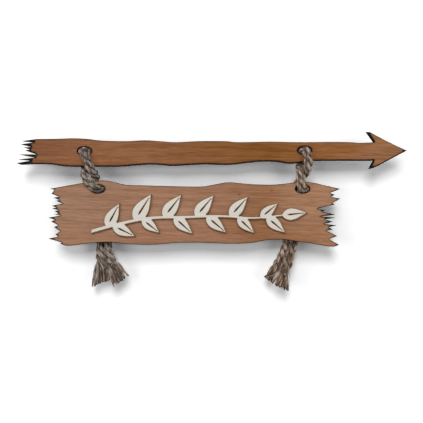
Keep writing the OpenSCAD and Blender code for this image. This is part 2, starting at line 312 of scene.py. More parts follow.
def fibre_group() -> bpy.types.NodeTree:
    """Builds the fine fibres of a spun yarn, from its own lengthwise place.

    Returns:
        Group with Fibres and Patches outputs from 0 to 1, and a Height.
    """
    g, source, sink = new_group("yarn_fibres", {"Yarn": None, "Tone": 0.5}, ("Fibres", "Patches", "Height"))
    yarn = source.outputs["Yarn"]
    # The tone also moves the noise, so that no two yarns look the same
    moved = g.math("MULTIPLY", source.outputs["Tone"], 37.0)
    shift = g.add("CombineXYZ", {}, X=0.0, Y=moved, Z=0.0).outputs[0]
    fibres = g.noise(g.stretched(yarn, (400.0, 2.6, 2.6), shift), 1.0, 3.0, 0.65)
    patches = g.noise(g.stretched(yarn, (150.0, 0.8, 0.8), shift), 1.0, 2.0)
    g.put(sink.inputs["Fibres"], g.ranged(fibres, 0.32, 0.68))
    g.put(sink.inputs["Patches"], g.ranged(patches, 0.3, 0.7))
    g.put(sink.inputs["Height"], fibres)
    return g.tree


class Effects:
    """The shared shader groups, each built once."""

    def __init__(self) -> None:
        """Builds the three groups."""
        self.grain = grain_group()
        self.scorch = scorch_group()
        self.fibre = fibre_group()

    @staticmethod
    def use(graph: Graph, tree: bpy.types.NodeTree, **inputs: object) -> bpy.types.Node:
        """Places a group in a material.

        Args:
            graph: The material's graph.
            tree: The group.
            **inputs: Values or sockets by input name.

        Returns:
            The group node.
        """
        node = graph.tree.nodes.new("ShaderNodeGroup")
        node.node_tree = tree
        for key, value in inputs.items():
            graph.put(node.inputs[key], value)
        return node


def new_material(name: str) -> tuple[bpy.types.Material, Graph, bpy.types.Node]:
    """Starts a material with a Principled shader.

    Args:
        name: Name of the material.

    Returns:
        The material, its graph and its Principled node.
    """
    material = bpy.data.materials.new(name)
    material.use_nodes = True
    tree = material.node_tree
    return material, Graph(tree), tree.nodes["Principled BSDF"]


def stage_material(name: str) -> tuple[bpy.types.Material, Graph, bpy.types.NodeSocket]:
    """Starts a material of the studio, with no shader yet.

    Args:
        name: Name of the material.

    Returns:
        The material, its graph and the socket that its surface goes to.
    """
    material = bpy.data.materials.new(name)
    material.use_nodes = True
    g = Graph(material.node_tree)
    g.tree.nodes.clear()
    return material, g, g.add("OutputMaterial").inputs["Surface"]


@dataclass(frozen=True)
class PlankFinish:
    """Oiled plywood face.

    Attributes:
        name: Name of the material.
        tints: Tints along the plank, each with its X in metres.
        low_tint: Factor on the colour near the lower edge.
        low_from: Z above which low_tint has no effect, in metres.
        contrast: Strength of the grain.
        slant: Fall of the grain to the right.
        seed: Place at which the noise is read.
        knots: Pin knots, each X, Z and radius in metres.
        char: Colour of charred wood, also laid as painted shade along edges facing down.
        toast: Colour of browned wood.
    """

    name: str
    tints: tuple[tuple[float, Colour], ...]
    low_tint: Colour = (1.0, 1.0, 1.0)
    low_from: float = -1.0
    contrast: float = 0.3
    slant: float = 0.0
    seed: float = 0.0
    knots: tuple[tuple[float, float, float], ...] = ()
    char: Colour = to_linear(17, 12, 10)
    toast: Colour = to_linear(84, 50, 32)

    def tinted(self, g: Graph, place: bpy.types.NodeSocket, drift: bpy.types.NodeSocket) -> bpy.types.NodeSocket:
        """Lets the tint change along the plank.

        Args:
            g: The material's graph.
            place: Place in the plank.
            drift: Slow noise that makes the change uneven.

        Returns:
            The tint.
        """
        x, _, z = g.add("SeparateXYZ", {}, Vector=place).outputs
        first, last = self.tints[0][0], self.tints[-1][0]
        x = g.math("ADD", x, g.math("MULTIPLY", g.math("SUBTRACT", drift, 0.5), 0.05))
        at = g.math("DIVIDE", g.math("SUBTRACT", x, first), last - first, True)
        ramp = g.add("ValToRGB", {}, Fac=at)
        ramp.color_ramp.interpolation = "EASE"
        stops = ramp.color_ramp.elements
        for number, (where, colour) in enumerate(self.tints):
            share = (where - first) / (last - first)
            stop = stops[number] if number < 2 else stops.new(share)
            stop.position, stop.color = share, (*colour, 1.0)
        lower = g.ranged(z, self.low_from, self.low_from - 0.02)
        return g.mixed(1.0, ramp.outputs["Color"], g.mixed(lower, (1.0, 1.0, 1.0), self.low_tint), "MULTIPLY")

    def build(self, effects: Effects) -> bpy.types.Material:
        """Builds the material.

        Args:
            effects: Shared shader groups.

        Returns:
            The material.
        """
        material, g, shader = new_material(self.name)
        place = g.place()
        grain = effects.use(g, effects.grain, Place=place, Slant=self.slant, Seed=self.seed)
        # Blue falls and rises most and red least, so dark grain is warmer
        c = self.contrast
        low, high = (1 - c, 1 - 1.15 * c, 1 - 1.3 * c), (1 + 0.8 * c, 1 + 0.95 * c, 1 + 1.1 * c)
        shade = g.mixed(grain.outputs["Grain"], low, high)
        colour = g.mixed(1.0, self.tinted(g, place, grain.outputs["Drift"]), shade, "MULTIPLY")
        colour = g.mixed(g.math("MULTIPLY", grain.outputs["Pores"], 0.35), colour, self.toast)
        for x, z, radius in self.knots:
            ring = g.stretched(place, (0.75, 0.0, 1.0), (-0.75 * x, 0.0, -z))
            far = g.add("VectorMath", {"operation": "LENGTH"}, in0=ring).outputs["Value"]
            colour = g.mixed(g.ranged(far, radius * 1.7, radius * 0.5, 0.0, 0.6), colour, self.toast)
        # The burn attribute also holds painted shade along edges facing down, so toast and char there paint shade as
        # well as charring
        scorch = effects.use(g, effects.scorch, Burn=g.attribute("burn"), Place=place)
        colour = g.mixed(g.math("MULTIPLY", scorch.outputs["Toast"], 0.6), colour, self.toast)
        colour = g.mixed(scorch.outputs["Char"], colour, self.char)
        rough = g.ranged(grain.outputs["Grain"], 0.0, 1.0, 0.62, 0.5)
        g.dress(shader, colour, rough, 0.06, (grain.outputs["Height"], 0.35, 0.00016))
        return material


@dataclass(frozen=True)
class CutEdgeFinish:
    """Charred sides that the laser leaves, with the plies just showing.

    Attributes:
        name: Name of the material.
        char: Colour of the charred wood.
        ply: Colour where a ply shows.
    """

    name: str = "charred_cut_edge"
    char: Colour = to_linear(20, 14, 11)
    ply: Colour = to_linear(50, 33, 24)

    def build(self, effects: Effects) -> bpy.types.Material:
        """Builds the material.

        Args:
            effects: Shared shader groups.

        Returns:
            The material.
        """
        material, g, shader = new_material(self.name)
        place = g.place()
        scorch = effects.use(g, effects.scorch, Burn=1.0, Place=place)
        streaks = g.noise(g.stretched(place, (900.0, 60.0, 900.0)), 1.0, 2.0)
        share = g.math("MULTIPLY", scorch.outputs["Layers"], g.ranged(streaks, 0.3, 0.8))
        colour, rough = g.mixed(share, self.char, self.ply), g.ranged(streaks, 0.2, 0.8, 0.8, 0.95)
        g.dress(shader, colour, rough, 0.0, (streaks, 0.5, 0.0002))
        return material


@dataclass(frozen=True)
class PaleFinish:
    """Cream face of the twig, with a tan rim and dark cut edges, whose dark rim also paints a shadow along edges
    facing down and right.

    Attributes:
        name: Name of the material.
        cream: Colour of the light grain.
        shade: Colour of the dark grain.
        tan: Colour of its blotches and of the toasted rim.
        edge: Colour of the charred rim, which along edges facing down and right is also painted shadow.
        ply: Colour of a ply in that rim.
    """

    name: str = "pale_plywood"
    cream: Colour = to_linear(222, 219, 212)
    shade: Colour = to_linear(210, 206, 198)
    tan: Colour = to_linear(226, 203, 168)
    edge: Colour = to_linear(66, 42, 28)
    ply: Colour = to_linear(104, 70, 46)

    def build(self, effects: Effects) -> bpy.types.Material:
        """Builds the material.

        Args:
            effects: Shared shader groups.

        Returns:
            The material.
        """
        material, g, shader = new_material(self.name)
        place = g.place()
        grain = effects.use(g, effects.grain, Place=place, Seed=3.7, Wander=0.003)
        colour = g.mixed(grain.outputs["Grain"], self.shade, self.cream)
        colour = g.mixed(g.ranged(g.noise(place, 70.0, 2.0), 0.45, 0.75, 0.0, 0.35), colour, self.tan)
        # The burn attribute also holds painted shadow along edges facing down and right, so the charred rim there
        # paints shadow as well as charring
        scorch = effects.use(g, effects.scorch, Burn=g.attribute("burn"), Place=place, Raggedness=0.35)
        colour = g.mixed(g.math("MULTIPLY", scorch.outputs["Toast"], 0.85), colour, self.tan)
        layered = g.mixed(scorch.outputs["Layers"], self.edge, self.ply)
        colour = g.mixed(g.math("MULTIPLY", scorch.outputs["Char"], 0.85), colour, layered)
        rough = g.ranged(grain.outputs["Grain"], 0.0, 1.0, 0.6, 0.5)
        g.dress(shader, colour, rough, 0.08, (grain.outputs["Height"], 0.2, 0.0001))
        return material


@dataclass(frozen=True)
class RopeFinish:
    """Grey-brown yarn of a laid plant-fibre rope.

    Attributes:
        name: Name of the material.
        light: Colour of the lightest yarn.
        middle: Colour of the darkest yarn.
        dark: Colour between its fibres, and of the painted shade deep in the rope.
        brown: Colour of its patches and of the frayed ends.
    """

    name: str
    light: Colour
    middle: Colour
    dark: Colour = to_linear(44, 35, 30)
    brown: Colour = to_linear(116, 88, 68)

    def build(self, effects: Effects) -> bpy.types.Material:
        """Builds the material.

        Args:
            effects: Shared shader groups.

        Returns:
            The material.
        """
        material, g, shader = new_material(self.name)
        tone = g.attribute("tone")
        fibres = effects.use(g, effects.fibre, Yarn=g.attribute("yarn", "Vector"), Tone=tone)
        colour = g.mixed(tone, self.middle, self.light)
        colour = g.mixed(g.math("MULTIPLY", fibres.outputs["Fibres"], 0.62), colour, self.dark)
        colour = g.mixed(g.math("MULTIPLY", fibres.outputs["Patches"], 0.3), colour, self.brown)
        colour = g.mixed(g.math("MULTIPLY", g.attribute("frayed"), 0.25), colour, self.brown)
        # Painted shade: yarns that lie deeper in the rope, away from its surface, are darkened towards dark
        colour = g.mixed(g.ranged(g.attribute("outward"), 0.98, 0.55, 0.0, 0.8), colour, self.dark)
        g.dress(shader, colour, 0.85, 0.15, (fibres.outputs["Height"], 0.7, 0.00025))
        shader.inputs["Sheen Weight"].default_value = 0.12
        return material


@dataclass(frozen=True)
class MetalFinish:
    """Plated metal with fine brushing and dull patches.

    Attributes:
        name: Name of the material.
        colour: Colour of the bright metal.
        dull: Colour of its dull patches.
        rough: Its roughness, which the brushing changes a little.
    """

    name: str
    colour: Colour
    dull: Colour
    rough: float

    def build(self) -> bpy.types.Material:
        """Builds the material.

        Returns:
            The material.
        """
        material, g, shader = new_material(self.name)
        place = g.place()
        brushed = g.noise(g.stretched(place, (120.0, 900.0, 2600.0)), 1.0, 2.0)
        colour = g.mixed(g.ranged(g.noise(place, 160.0, 3.0), 0.4, 0.7), self.colour, self.dull)
        rough = g.ranged(brushed, 0.2, 0.8, self.rough - 0.07, self.rough + 0.12)
        g.dress(shader, colour, rough, 0.5, (brushed, 0.15, 0.00005))
        shader.inputs["Metallic"].default_value = 1.0
        return material


# ---------------------------------------------------------------- meshes


def new_piece(name: str, points: Array, faces: list, material: bpy.types.Material, sharp: float | None = None,
              values: dict[str, Array] | None = None) -> bpy.types.Object:
    """Makes an object from points and faces.

    Args:
        name: Name of the piece.
        points: Corner places in metres.
        faces: Corner numbers of each face.
        material: Its material.
        sharp: Angle in degrees above which an edge stays sharp, or None.
        values: Attributes of the corners by name, numbers or vectors.

    Returns:
        The object, linked into the scene.
    """
    mesh = bpy.data.meshes.new(name)
    mesh.from_pydata(points.tolist(), [], faces)
    mesh.validate()
    for key, data in (values or {}).items():
        kind, slot = ("FLOAT_VECTOR", "vector") if data.ndim == 2 else ("FLOAT", "value")
        attribute = mesh.attributes.new(key, kind, "POINT")
        attribute.data.foreach_set(slot, data.astype(np.float32).ravel())
    mesh.polygons.foreach_set("use_smooth", [True] * len(mesh.polygons))
    if sharp is not None:
        mesh.set_sharp_from_angle(angle=math.radians(sharp))
    mesh.materials.append(material)
    mesh.update()
    piece = bpy.data.objects.new(name, mesh)
    bpy.context.scene.collection.objects.link(piece)
    return piece


def face_loops(node: bpy.types.Object) -> tuple[list[Array], float, float]:
    """Reads the outlines of a flat CAD node's front face.

    Args:
        node: CAD node cut from one sheet.

    Returns:
        Its closed outlines as X and Z in metres, the front Y and the rear Y.
    """
    co = np.array([v.co for v in node.data.vertices])
    front, rear = co[:, 1].min(), co[:, 1].max()
    key = {i: (round(p[0], 7), round(p[2], 7)) for i, p in enumerate(co.tolist())}
    count: dict[tuple, int] = {}
    for polygon in node.data.polygons:
        corners = list(polygon.vertices)
        if all(abs(co[i, 1] - front) < 1e-6 for i in corners):
            for a, b in zip(corners, corners[1:] + corners[:1]):
                pair = (key[a], key[b])
                if pair[::-1] in count:
                    del count[pair[::-1]]
                else:
                    count[pair] = 1
    follow = dict(count.keys())
    loops = []
    while follow:
        start, at = next(iter(follow.items()))
        del follow[start]
        loop = [start]
        while at != start:
            loop.append(at)
            at = follow.pop(at)
        loops.append(np.array(loop))
    return loops, float(front), float(rear)


def signed_area(loop: Array) -> float:
    """Gives a closed outline's area, positive when it runs anticlockwise."""
    nxt = np.roll(loop, -1, axis=0)
    return float((loop[:, 0] * nxt[:, 1] - nxt[:, 0] * loop[:, 1]).sum() / 2)


@dataclass
class Outline:
    """A sheet's outline as straight stretches, the outer loop anticlockwise and holes clockwise.

    Attributes:
        start: First end of each stretch, as X and Z in metres.
        end: Second end of each stretch.
        spans: Numbers of each loop's first stretch and of the one after its last.
        front: Y of the sheet's front face.
        rear: Y of its rear face.
    """

    start: Array
    end: Array
    spans: list[tuple[int, int]]
    front: float
    rear: float

    @classmethod
    def of(cls, node: bpy.types.Object, step: float) -> "Outline":
        """Reads a CAD node's outline and puts points closer along its straight stretches.

        Args:
            node: CAD node cut from one sheet.
            step: Largest distance of two points, in metres.

        Returns:
            The outline.
        """
        loops, front, rear = face_loops(node)
        outer = max(range(len(loops)), key=lambda i: abs(signed_area(loops[i])))
        made = []
        for i, loop in enumerate(loops):
            if (signed_area(loop) > 0) != (i == outer):
                loop = loop[::-1]
            dense = []
            for a, b in zip(loop, np.roll(loop, -1, axis=0)):
                n = max(1, math.ceil(np.linalg.norm(b - a) / step))
                dense += [a + (b - a) * k / n for k in range(n)]
            made.append(np.array(dense))
        ends = np.cumsum([0] + [len(loop) for loop in made]).tolist()
        return cls(np.concatenate(made), np.concatenate([np.roll(loop, -1, axis=0) for loop in made]),
                   list(zip(ends[:-1], ends[1:])), front, rear)

    def outward(self) -> Array:
        """Gives the direction out of the wood at each stretch."""
        along = (self.end - self.start) / np.linalg.norm(self.end - self.start, axis=1)[:, None]
        return np.stack([along[:, 1], -along[:, 0]], axis=1)

    def nearest(self, points: Array) -> tuple[Array, Array]:
        """Finds the nearest stretch for each point.

        Args:
            points: Places to test.

        Returns:
            Distance to the nearest stretch and its number.
        """
        far, which = np.full(len(points), np.inf), np.zeros(len(points), int)
        d = self.end - self.start
        size = np.maximum((d * d).sum(1), 1e-18)
        for i in range(0, len(points), BLOCK):
            p = points[i : i + BLOCK, None, :] - self.start[None]
            t = np.clip((p * d).sum(2) / size, 0, 1)
            gap = np.linalg.norm(p - t[..., None] * d, axis=2)
            which[i : i + BLOCK] = gap.argmin(1)
            far[i : i + BLOCK] = gap.min(1)
        return far, which

    def crowding(self, points: Array, radius: float) -> Array:
        """Measures how much of the outline lies round each point, which is most in a thin tip.

        Args:
            points: Places to test.
            radius: Distance up to which the outline counts, in metres.

        Returns:
            0 beside a straight edge and 1 where twice as much outline is near.
        """
        middle, size = (self.start + self.end) / 2, np.linalg.norm(self.end - self.start, axis=1)
        found = np.zeros(len(points))
        for i in range(0, len(points), BLOCK):
            gap = np.linalg.norm(points[i : i + BLOCK, None, :] - middle[None], axis=2)
            found[i : i + BLOCK] = ((gap < radius) * size).sum(1)
        # A straight edge gives a length of twice the radius
        return np.clip((found / (2 * radius) - 1.1) / 0.9, 0, 1)

    def holds(self, points: Array) -> Array:
        """Tells which points lie in the wood, by counting the stretches to their right.

        Args:
            points: Places to test.

        Returns:
            True for each point that lies in the wood.
        """
        result = np.zeros(len(points), bool)
        width, rise = (self.end - self.start).T
        rise = np.where(np.abs(rise) < 1e-12, 1e-12, rise)
        for i in range(0, len(points), BLOCK):
            p = points[i : i + BLOCK, None, :]
            crosses = (self.start[None, :, 1] > p[..., 1]) != (self.end[None, :, 1] > p[..., 1])
            at = self.start[:, 0] + (p[..., 1] - self.start[:, 1]) / rise * width
            result[i : i + BLOCK] = (crosses & (p[..., 0] < at)).sum(1) % 2 == 1
        return result


@dataclass
class CutSheet:
    """A shape cut by laser from one sheet, with softened arrises, burnt edges and painted shade beside the edges
    that face down or right.

    Attributes:
        node: Name of the CAD node.
        piece: Name of the new piece.
        slot: Material slot of the record; not used.
        body: Body that it rides on.
        finish: Finish of its faces.
        edge: Finish of its cut edges.
        arris: Radius of the softened arris, in mm.
        burn_base: Width of the burn beside an edge that faces up or right, in mm.
        burn_and_shade_down: What is added to it where the edge faces down: partly charring, partly painted shade
            under the edge.
        burn_left: What is added to it where the edge faces left.
        burn_and_shade_right: What is added to it where the edge faces right, which is a painted shadow beside the
            edge.
        tip_burn: Share by which thin tips are burnt wider.
        tip_reach: Distance over which the outline counts as a tip's, in mm.
        hole_burn: Share of the three additions that holes get.
        rear_burn: Burn of the rear face as a share of the front's.
        step: Distance of points along the outline, in mm.
        grid: Distance of points in the middle of a face, in mm.
        offsets: Distances of the rows of points just inside the outline, in mm.
        levels: Places of the rows of points on the cut edge, from 0 in front to 1 behind.
        sharp: Angle above which an edge stays sharp, in degrees.
    """

    node: str
    piece: str
    slot: str
    body: Body
    finish: PlankFinish | PaleFinish
    edge: CutEdgeFinish = CutEdgeFinish()
    arris: float = 0.3
    burn_base: float = 0.6
    burn_and_shade_down: float = 0.6
    burn_left: float = 0.6
    burn_and_shade_right: float = 0.0
    tip_burn: float = 0.0
    tip_reach: float = 3.0
    hole_burn: float = 0.25
    rear_burn: float = 0.7
    step: float = 0.9
    grid: float = 3.0
    offsets: tuple[float, ...] = (0.12, 0.3, 0.7, 1.2, 1.9, 2.8)
    levels: tuple[float, ...] = (0.33, 0.67)
    sharp: float = 38.0

    def flat_points(self, outline: Outline) -> Array:
        """Places the points of a face: its outline, rows just inside it and a grid.

        Args:
            outline: The sheet's outline.

        Returns:
            The points as X and Z in metres, those of the outline first.
        """
        outward = outline.outward()
        corner = outward + np.concatenate([np.roll(outward[a:b], 1, axis=0) for a, b in outline.spans])
        corner /= np.maximum(np.linalg.norm(corner, axis=1), 1e-9)[:, None]
        rows = []
        for offset in self.offsets:
            row = outline.start - corner * offset * MM
            # In a narrow notch or tip a row would come too close to the other side, and is left out there
            clear = outline.nearest(row)[0] > 0.85 * offset * MM
            rows.append(row[outline.holds(row) & clear])
        low, high = outline.start.min(0), outline.start.max(0)
        # Rows set off by half a step and closer than the step give nearly equal triangles
        xs = np.arange(low[0], high[0], self.grid * MM)
        zs = np.arange(low[1], high[1], self.grid * MM * 0.87)
        gx, gz = np.meshgrid(xs, zs)
        gx = gx + (np.arange(len(zs)) % 2)[:, None] * self.grid * MM / 2
        grid = np.stack([gx.ravel(), gz.ravel()], axis=1)
        grid = grid[outline.holds(grid)]
        grid = grid[outline.nearest(grid)[0] > (self.offsets[-1] + 0.6) * MM]
        return np.concatenate([outline.start, *rows, grid])

    def triangles(self, outline: Outline, flat: Array, edges: list[tuple[int, int]]) -> tuple[Array, Array, Array]:
        """Joins the points of a face to triangles.

        Args:
            outline: The sheet's outline.
            flat: The points, those of the outline first.
            edges: The outline's stretches as pairs of points.

        Returns:
            The points in their new order, the triangles, and each point's number on the outline or -1.
        """
        verts, _, faces, origins, _, _ = delaunay_2d_cdt([Vector(p) for p in flat * ENLARGED], edges, [], 0, 1e-6)
        if len(verts) != len(flat):
            LOG.info("%s: %d points became %d", self.piece, len(flat), len(verts))
        points = np.array([v[:] for v in verts]) / ENLARGED
        made = np.array([f for f in faces if len(f) == 3], int)
        made = made[outline.holds(points[made].mean(1))]
        rim = np.array([next((i for i in o if i < len(outline.start)), -1) for o in origins])
        return points, made, rim

    def burnt(self, outline: Outline, points: Array, far: Array, which: Array) -> Array:
        """Gives the burn of the front face, widened by painted shade along edges that face down or right.

        Args:
            outline: The sheet's outline.
            points: Points of the face.
            far: Distance of each to the outline, in metres.
            which: Number of the stretch that is nearest to it.

        Returns:
            1 at the edge, falling to 0 where the burn ends.
        """
        away = outline.outward()[which]
        first, last = max(outline.spans, key=lambda span: span[1] - span[0])
        # The extra width on edges facing down is partly painted shade, and on edges facing right it is painted
        # shadow
        added = (self.burn_and_shade_down * np.maximum(0, -away[:, 1]) + self.burn_left * np.maximum(0, -away[:, 0])
                 + self.burn_and_shade_right * np.maximum(0, away[:, 0]))
        added *= np.where((which < first) | (which >= last), self.hole_burn, 1.0)
        width = (self.burn_base + added) * MM * (1 + self.tip_burn * outline.crowding(points, self.tip_reach * MM))
        return np.clip(1 - far / width, 0, 1)

    def build(self, effects: Effects) -> None:
        """Builds the sheet, dresses it and puts it in place of the CAD node.

        Args:
            effects: Shared shader groups.
        """
        outline = Outline.of(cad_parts[self.node], self.step * MM)
        start, front, rear = outline.start, outline.front, outline.rear
        edges = [(a + i, a + (i + 1) % (b - a)) for a, b in outline.spans for i in range(b - a)]
        flat, tri, rim = self.triangles(outline, self.flat_points(outline), edges)
        far, which = outline.nearest(flat)
        far[rim >= 0] = 0
        burn = self.burnt(outline, flat, far, which)
        r = self.arris * MM
        sunk = r - np.sqrt(np.maximum(r * r - (r - np.minimum(far, r)) ** 2, 0))
        points = [np.stack([flat[:, 0], y, flat[:, 1]], 1) for y in (front + sunk, rear - sunk)]
        n = len(flat)
        faces = tri.tolist() + (tri[:, ::-1] + n).tolist()
        a, b, c = points[0][tri[0]]
        if np.cross(b - a, c - a)[1] > 0:
            faces = [f[::-1] for f in faces]
        flat_faces = len(faces)
        number = {int(s): i for i, s in enumerate(rim) if s >= 0}
        values, rows, size = [burn, burn * self.rear_burn], [[number[i] for i in range(len(start))]], 2 * n
        for level in self.levels:
            y = np.full(len(start), front + r + level * (rear - front - 2 * r))
            points.append(np.stack([start[:, 0], y, start[:, 1]], 1))
            values.append(np.ones(len(start)))
            rows.append(list(range(size, size + len(start))))
            size += len(start)
        rows.append([i + n for i in rows[0]])
        for upper, lower in zip(rows, rows[1:]):
            faces += [(upper[i], upper[j], lower[j], lower[i]) for i, j in edges]
        piece = new_piece(self.piece, np.concatenate(points), faces, self.finish.build(effects), self.sharp,
                          {"burn": np.concatenate(values)})
        piece.data.materials.append(self.edge.build(effects))
        piece.data.polygons.foreach_set("material_index", (np.arange(len(faces)) >= flat_faces).astype(int))
        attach(piece, self.body.value)
        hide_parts(self.node)
        LOG.info("%s: %d faces", piece.name, len(piece.data.polygons))


SLAT_PLYWOOD = PlankFinish(
    "slat_plywood",
    ((-0.19, to_linear(131, 86, 58)), (-0.1, to_linear(142, 94, 62)), (0.06, to_linear(131, 82, 38)),
     (0.14, to_linear(148, 97, 56)), (0.19, to_linear(153, 106, 72))),
    contrast=0.32, seed=1.3, knots=((-0.106, -0.0095, 0.0006),))
BOARD_PLYWOOD = PlankFinish(
    "board_plywood",
    ((-0.15, to_linear(162, 123, 98)), (-0.04, to_linear(164, 122, 96)), (0.06, to_linear(151, 106, 75)),
     (0.12, to_linear(166, 123, 93))),
    low_tint=(0.96, 0.92, 0.87), low_from=-0.07, contrast=0.26, slant=0.035, seed=5.1,
    knots=((0.0291, -0.0455, 0.0009), (0.0631, -0.0414, 0.0008), (0.0572, -0.0589, 0.0012)))

# The slat's wider dark rim along edges facing down is partly charring, partly painted shade
SLAT = CutSheet("arrow_slat", "arrow_slat_cut", "slat_wood", Body.ARROW, SLAT_PLYWOOD,
                burn_base=0.9, burn_and_shade_down=1.3, burn_left=1.0, tip_burn=2.4)
BOARD = CutSheet("name_board", "name_board_cut", "board_wood", Body.BOARD, BOARD_PLYWOOD,
                 burn_base=0.9, burn_and_shade_down=0.2, burn_left=0.4, tip_burn=0.9)
# The twig's dark rims along edges facing down and right are painted shadow as well as charring
TWIG = CutSheet("leafy_twig", "leafy_twig_cut", "pale_wood", Body.BOARD, PaleFinish(),
                CutEdgeFinish("browned_cut_edge", to_linear(58, 36, 24), to_linear(112, 78, 52)), arris=0.2,
                burn_and_shade_down=1.0, burn_left=0.0, burn_and_shade_right=1.0, step=0.7, grid=2.2, offsets=(0.1, 0.25, 0.6, 1.0, 1.6))


# ---------------------------------------------------------------- ropes

Station = tuple[float, ...]
SHEET_MIDDLE = -7.0    # mm, Y of the plywood's middle plane
ROPE_RADIUS = 4.6      # mm
TO_FACE = 8.0          # mm, from the middle plane to a rope that lies on a face
KNOT_RADIUS = 5.2      # mm, at which the two legs wind round each other
KNOT_TURN = 540.0      # degrees that a leg goes round in the knot
KNOT_SQUEEZE = 0.98    # width and depth of a leg in the knot
YARN_APART = 7.0       # distance of two yarns where their fibres' noise is read


def axes_along(line: Array) -> tuple[Array, Array, Array]:
    """Gives a direction and two cross axes at each point of a line, the first cross axis nearest to X.

    Args:
        line: Points of the line.

    Returns:
        Directions, first cross axes and second cross axes.
    """
    t = np.gradient(line, axis=0)
    t /= np.linalg.norm(t, axis=1)[:, None]
    u = np.array([1.0, 0, 0]) - t[:, :1] * t
    u /= np.linalg.norm(u, axis=1)[:, None]
    return t, u, np.cross(t, u)


def wobble(rng: np.random.Generator, s: Array, every: int, spread: float = 1.0, limit: float = math.inf) -> Array:
    """Draws a random change along the rope.

    Args:
        rng: Source of the random draws.
        s: Places along the rope, in mm.
        every: Points from one draw to the next.
        spread: Standard deviation of a draw.
        limit: Most that it may be, either way.

    Returns:
        The change at each place.
    """
    return np.interp(s, s[::every], rng.normal(0, spread, len(s[::every])).clip(-limit, limit))


@dataclass
class Tube:
    """A yarn or a stray fibre as rings of points.

    Attributes:
        rings: Points, in mm, as rings by sides by three.
        yarn: Place along and round the yarn, for its fibres, per point.
        tone: How light it is, per point.
        outward: Distance from the rope's middle as a share of its radius, per point.
        frayed: How frayed the rope is there, per point.
    """

    rings: Array
    yarn: Array
    tone: Array
    outward: Array
    frayed: Array

    @classmethod
    def along(cls, centre: Array, thick: Array, sides: int, tone: Array, s: Array, number: int,
              section: tuple[Array, Array], loose: Array) -> "Tube":
        """Puts a ring of points round each point of a line.

        Args:
            centre: The line, in mm.
            thick: Radius at each point, in mm.
            sides: Points of a ring.
            tone: How light the yarn is at each point.
            s: Place along the rope at each point, in mm.
            number: Number of the yarn.
            section: Place in the rope's section at each point, as a share of its radius.
            loose: How frayed the rope is at each point.

        Returns:
            The tube.
        """
        angles = np.arange(sides) * 2 * math.pi / sides
        _, u, v = axes_along(centre)
        ring_u, ring_v = thick[:, None] * np.cos(angles), thick[:, None] * np.sin(angles)
        rings = centre[:, None] + ring_u[..., None] * u[:, None] + ring_v[..., None] * v[:, None]
        out = np.hypot(section[0][:, None] + ring_u / ROPE_RADIUS, section[1][:, None] + ring_v / ROPE_RADIUS)
        twist = angles[None] + 0.5 * s[:, None]
        yarn = np.stack([np.repeat(s[:, None], sides, 1) * MM, np.cos(twist) + YARN_APART * (number % 5),
                         np.sin(twist) + YARN_APART * (number // 5)], 2)
        wide = np.ones(sides)
        return cls(rings, yarn, tone[:, None] * wide, out, loose[:, None] * wide)

    def cut(self, first: int, last: int) -> "Tube":
        """Takes the stretch from one ring to another; a true end is drawn in.

        Args:
            first: Number of the first ring.
            last: Number of the last ring.

        Returns:
            The stretch.
        """
        part = slice(first, last + 1)
        rings = self.rings[part].copy()
        for end, true_end in ((0, first == 0), (-1, last == len(self.rings) - 1)):
            if true_end:
                middle = rings[end].mean(0)
                rings[end] = middle + (rings[end] - middle) * 0.55
        return Tube(rings, self.yarn[part], self.tone[part], self.outward[part], self.frayed[part])


def join_tubes(name: str, tubes: list[Tube], material: bpy.types.Material) -> bpy.types.Object:
    """Joins tubes into one mesh with closed ends.

    Args:
        name: Name of the piece.
        tubes: The tubes.
        material: Finish of the yarn.

    Returns:
        The piece.
    """
    faces, base = [], 0
    for tube in tubes:
        n, k = tube.rings.shape[:2]
        i, j = np.meshgrid(np.arange(n - 1), np.arange(k), indexing="ij")
        a, b = (i * k + j).ravel() + base, (i * k + (j + 1) % k).ravel() + base
        faces += np.stack([a, b, b + k, a + k], axis=1).tolist()
        faces.append([base + q for q in range(k - 1, -1, -1)])
        faces.append([base + (n - 1) * k + q for q in range(k)])
        base += n * k
    points = np.concatenate([tube.rings.reshape(-1, 3) for tube in tubes]) * MM
    values = {"yarn": np.concatenate([tube.yarn.reshape(-1, 3) for tube in tubes])}
    for key in ("tone", "outward", "frayed"):
        values[key] = np.concatenate([getattr(tube, key).ravel() for tube in tubes])
    return new_piece(name, points, faces, material, 60.0, values)


def catmull(points: Array, parts: int) -> Array:
    """Draws a smooth curve through points.

    Args:
        points: Points with any number of values.
        parts: Steps between two points.

    Returns:
        The curve's points.
    """
    p = np.concatenate([points[:1], points, points[-1:]])
    out = []
    for i in range(1, len(p) - 2):
        a, b, c, d = p[i - 1 : i + 3]
        for t in np.arange(parts) / parts:
            out.append(0.5 * (2 * b + (c - a) * t + (2 * a - 5 * b + 4 * c - d) * t * t
                              + (3 * b - a - 3 * c + d) * t ** 3))
    return np.array(out + [points[-1]])


def knot_leg(top: tuple[float, float], low: tuple[float, float], start: float) -> list[Station]:
    """Winds one leg of the half knot down the back of the board.

    Args:
        top: X and Z of the knot's axis where it begins, in mm.
        low: X and Z where it ends.
        start: Angle at which the leg begins, in degrees.

    Returns:
        Stations as X, Y, Z, width, depth and skew.
    """
    rows = []
    for t in np.arange(10) / 9:
        a = math.radians(start + KNOT_TURN * t)
        rows.append((top[0] + (low[0] - top[0]) * t + KNOT_RADIUS * math.cos(a),
                     SHEET_MIDDLE + TO_FACE + KNOT_RADIUS * (1 + math.sin(a)),
                     top[1] + (low[1] - top[1]) * t, KNOT_SQUEEZE, KNOT_SQUEEZE, 0.0))
    return rows


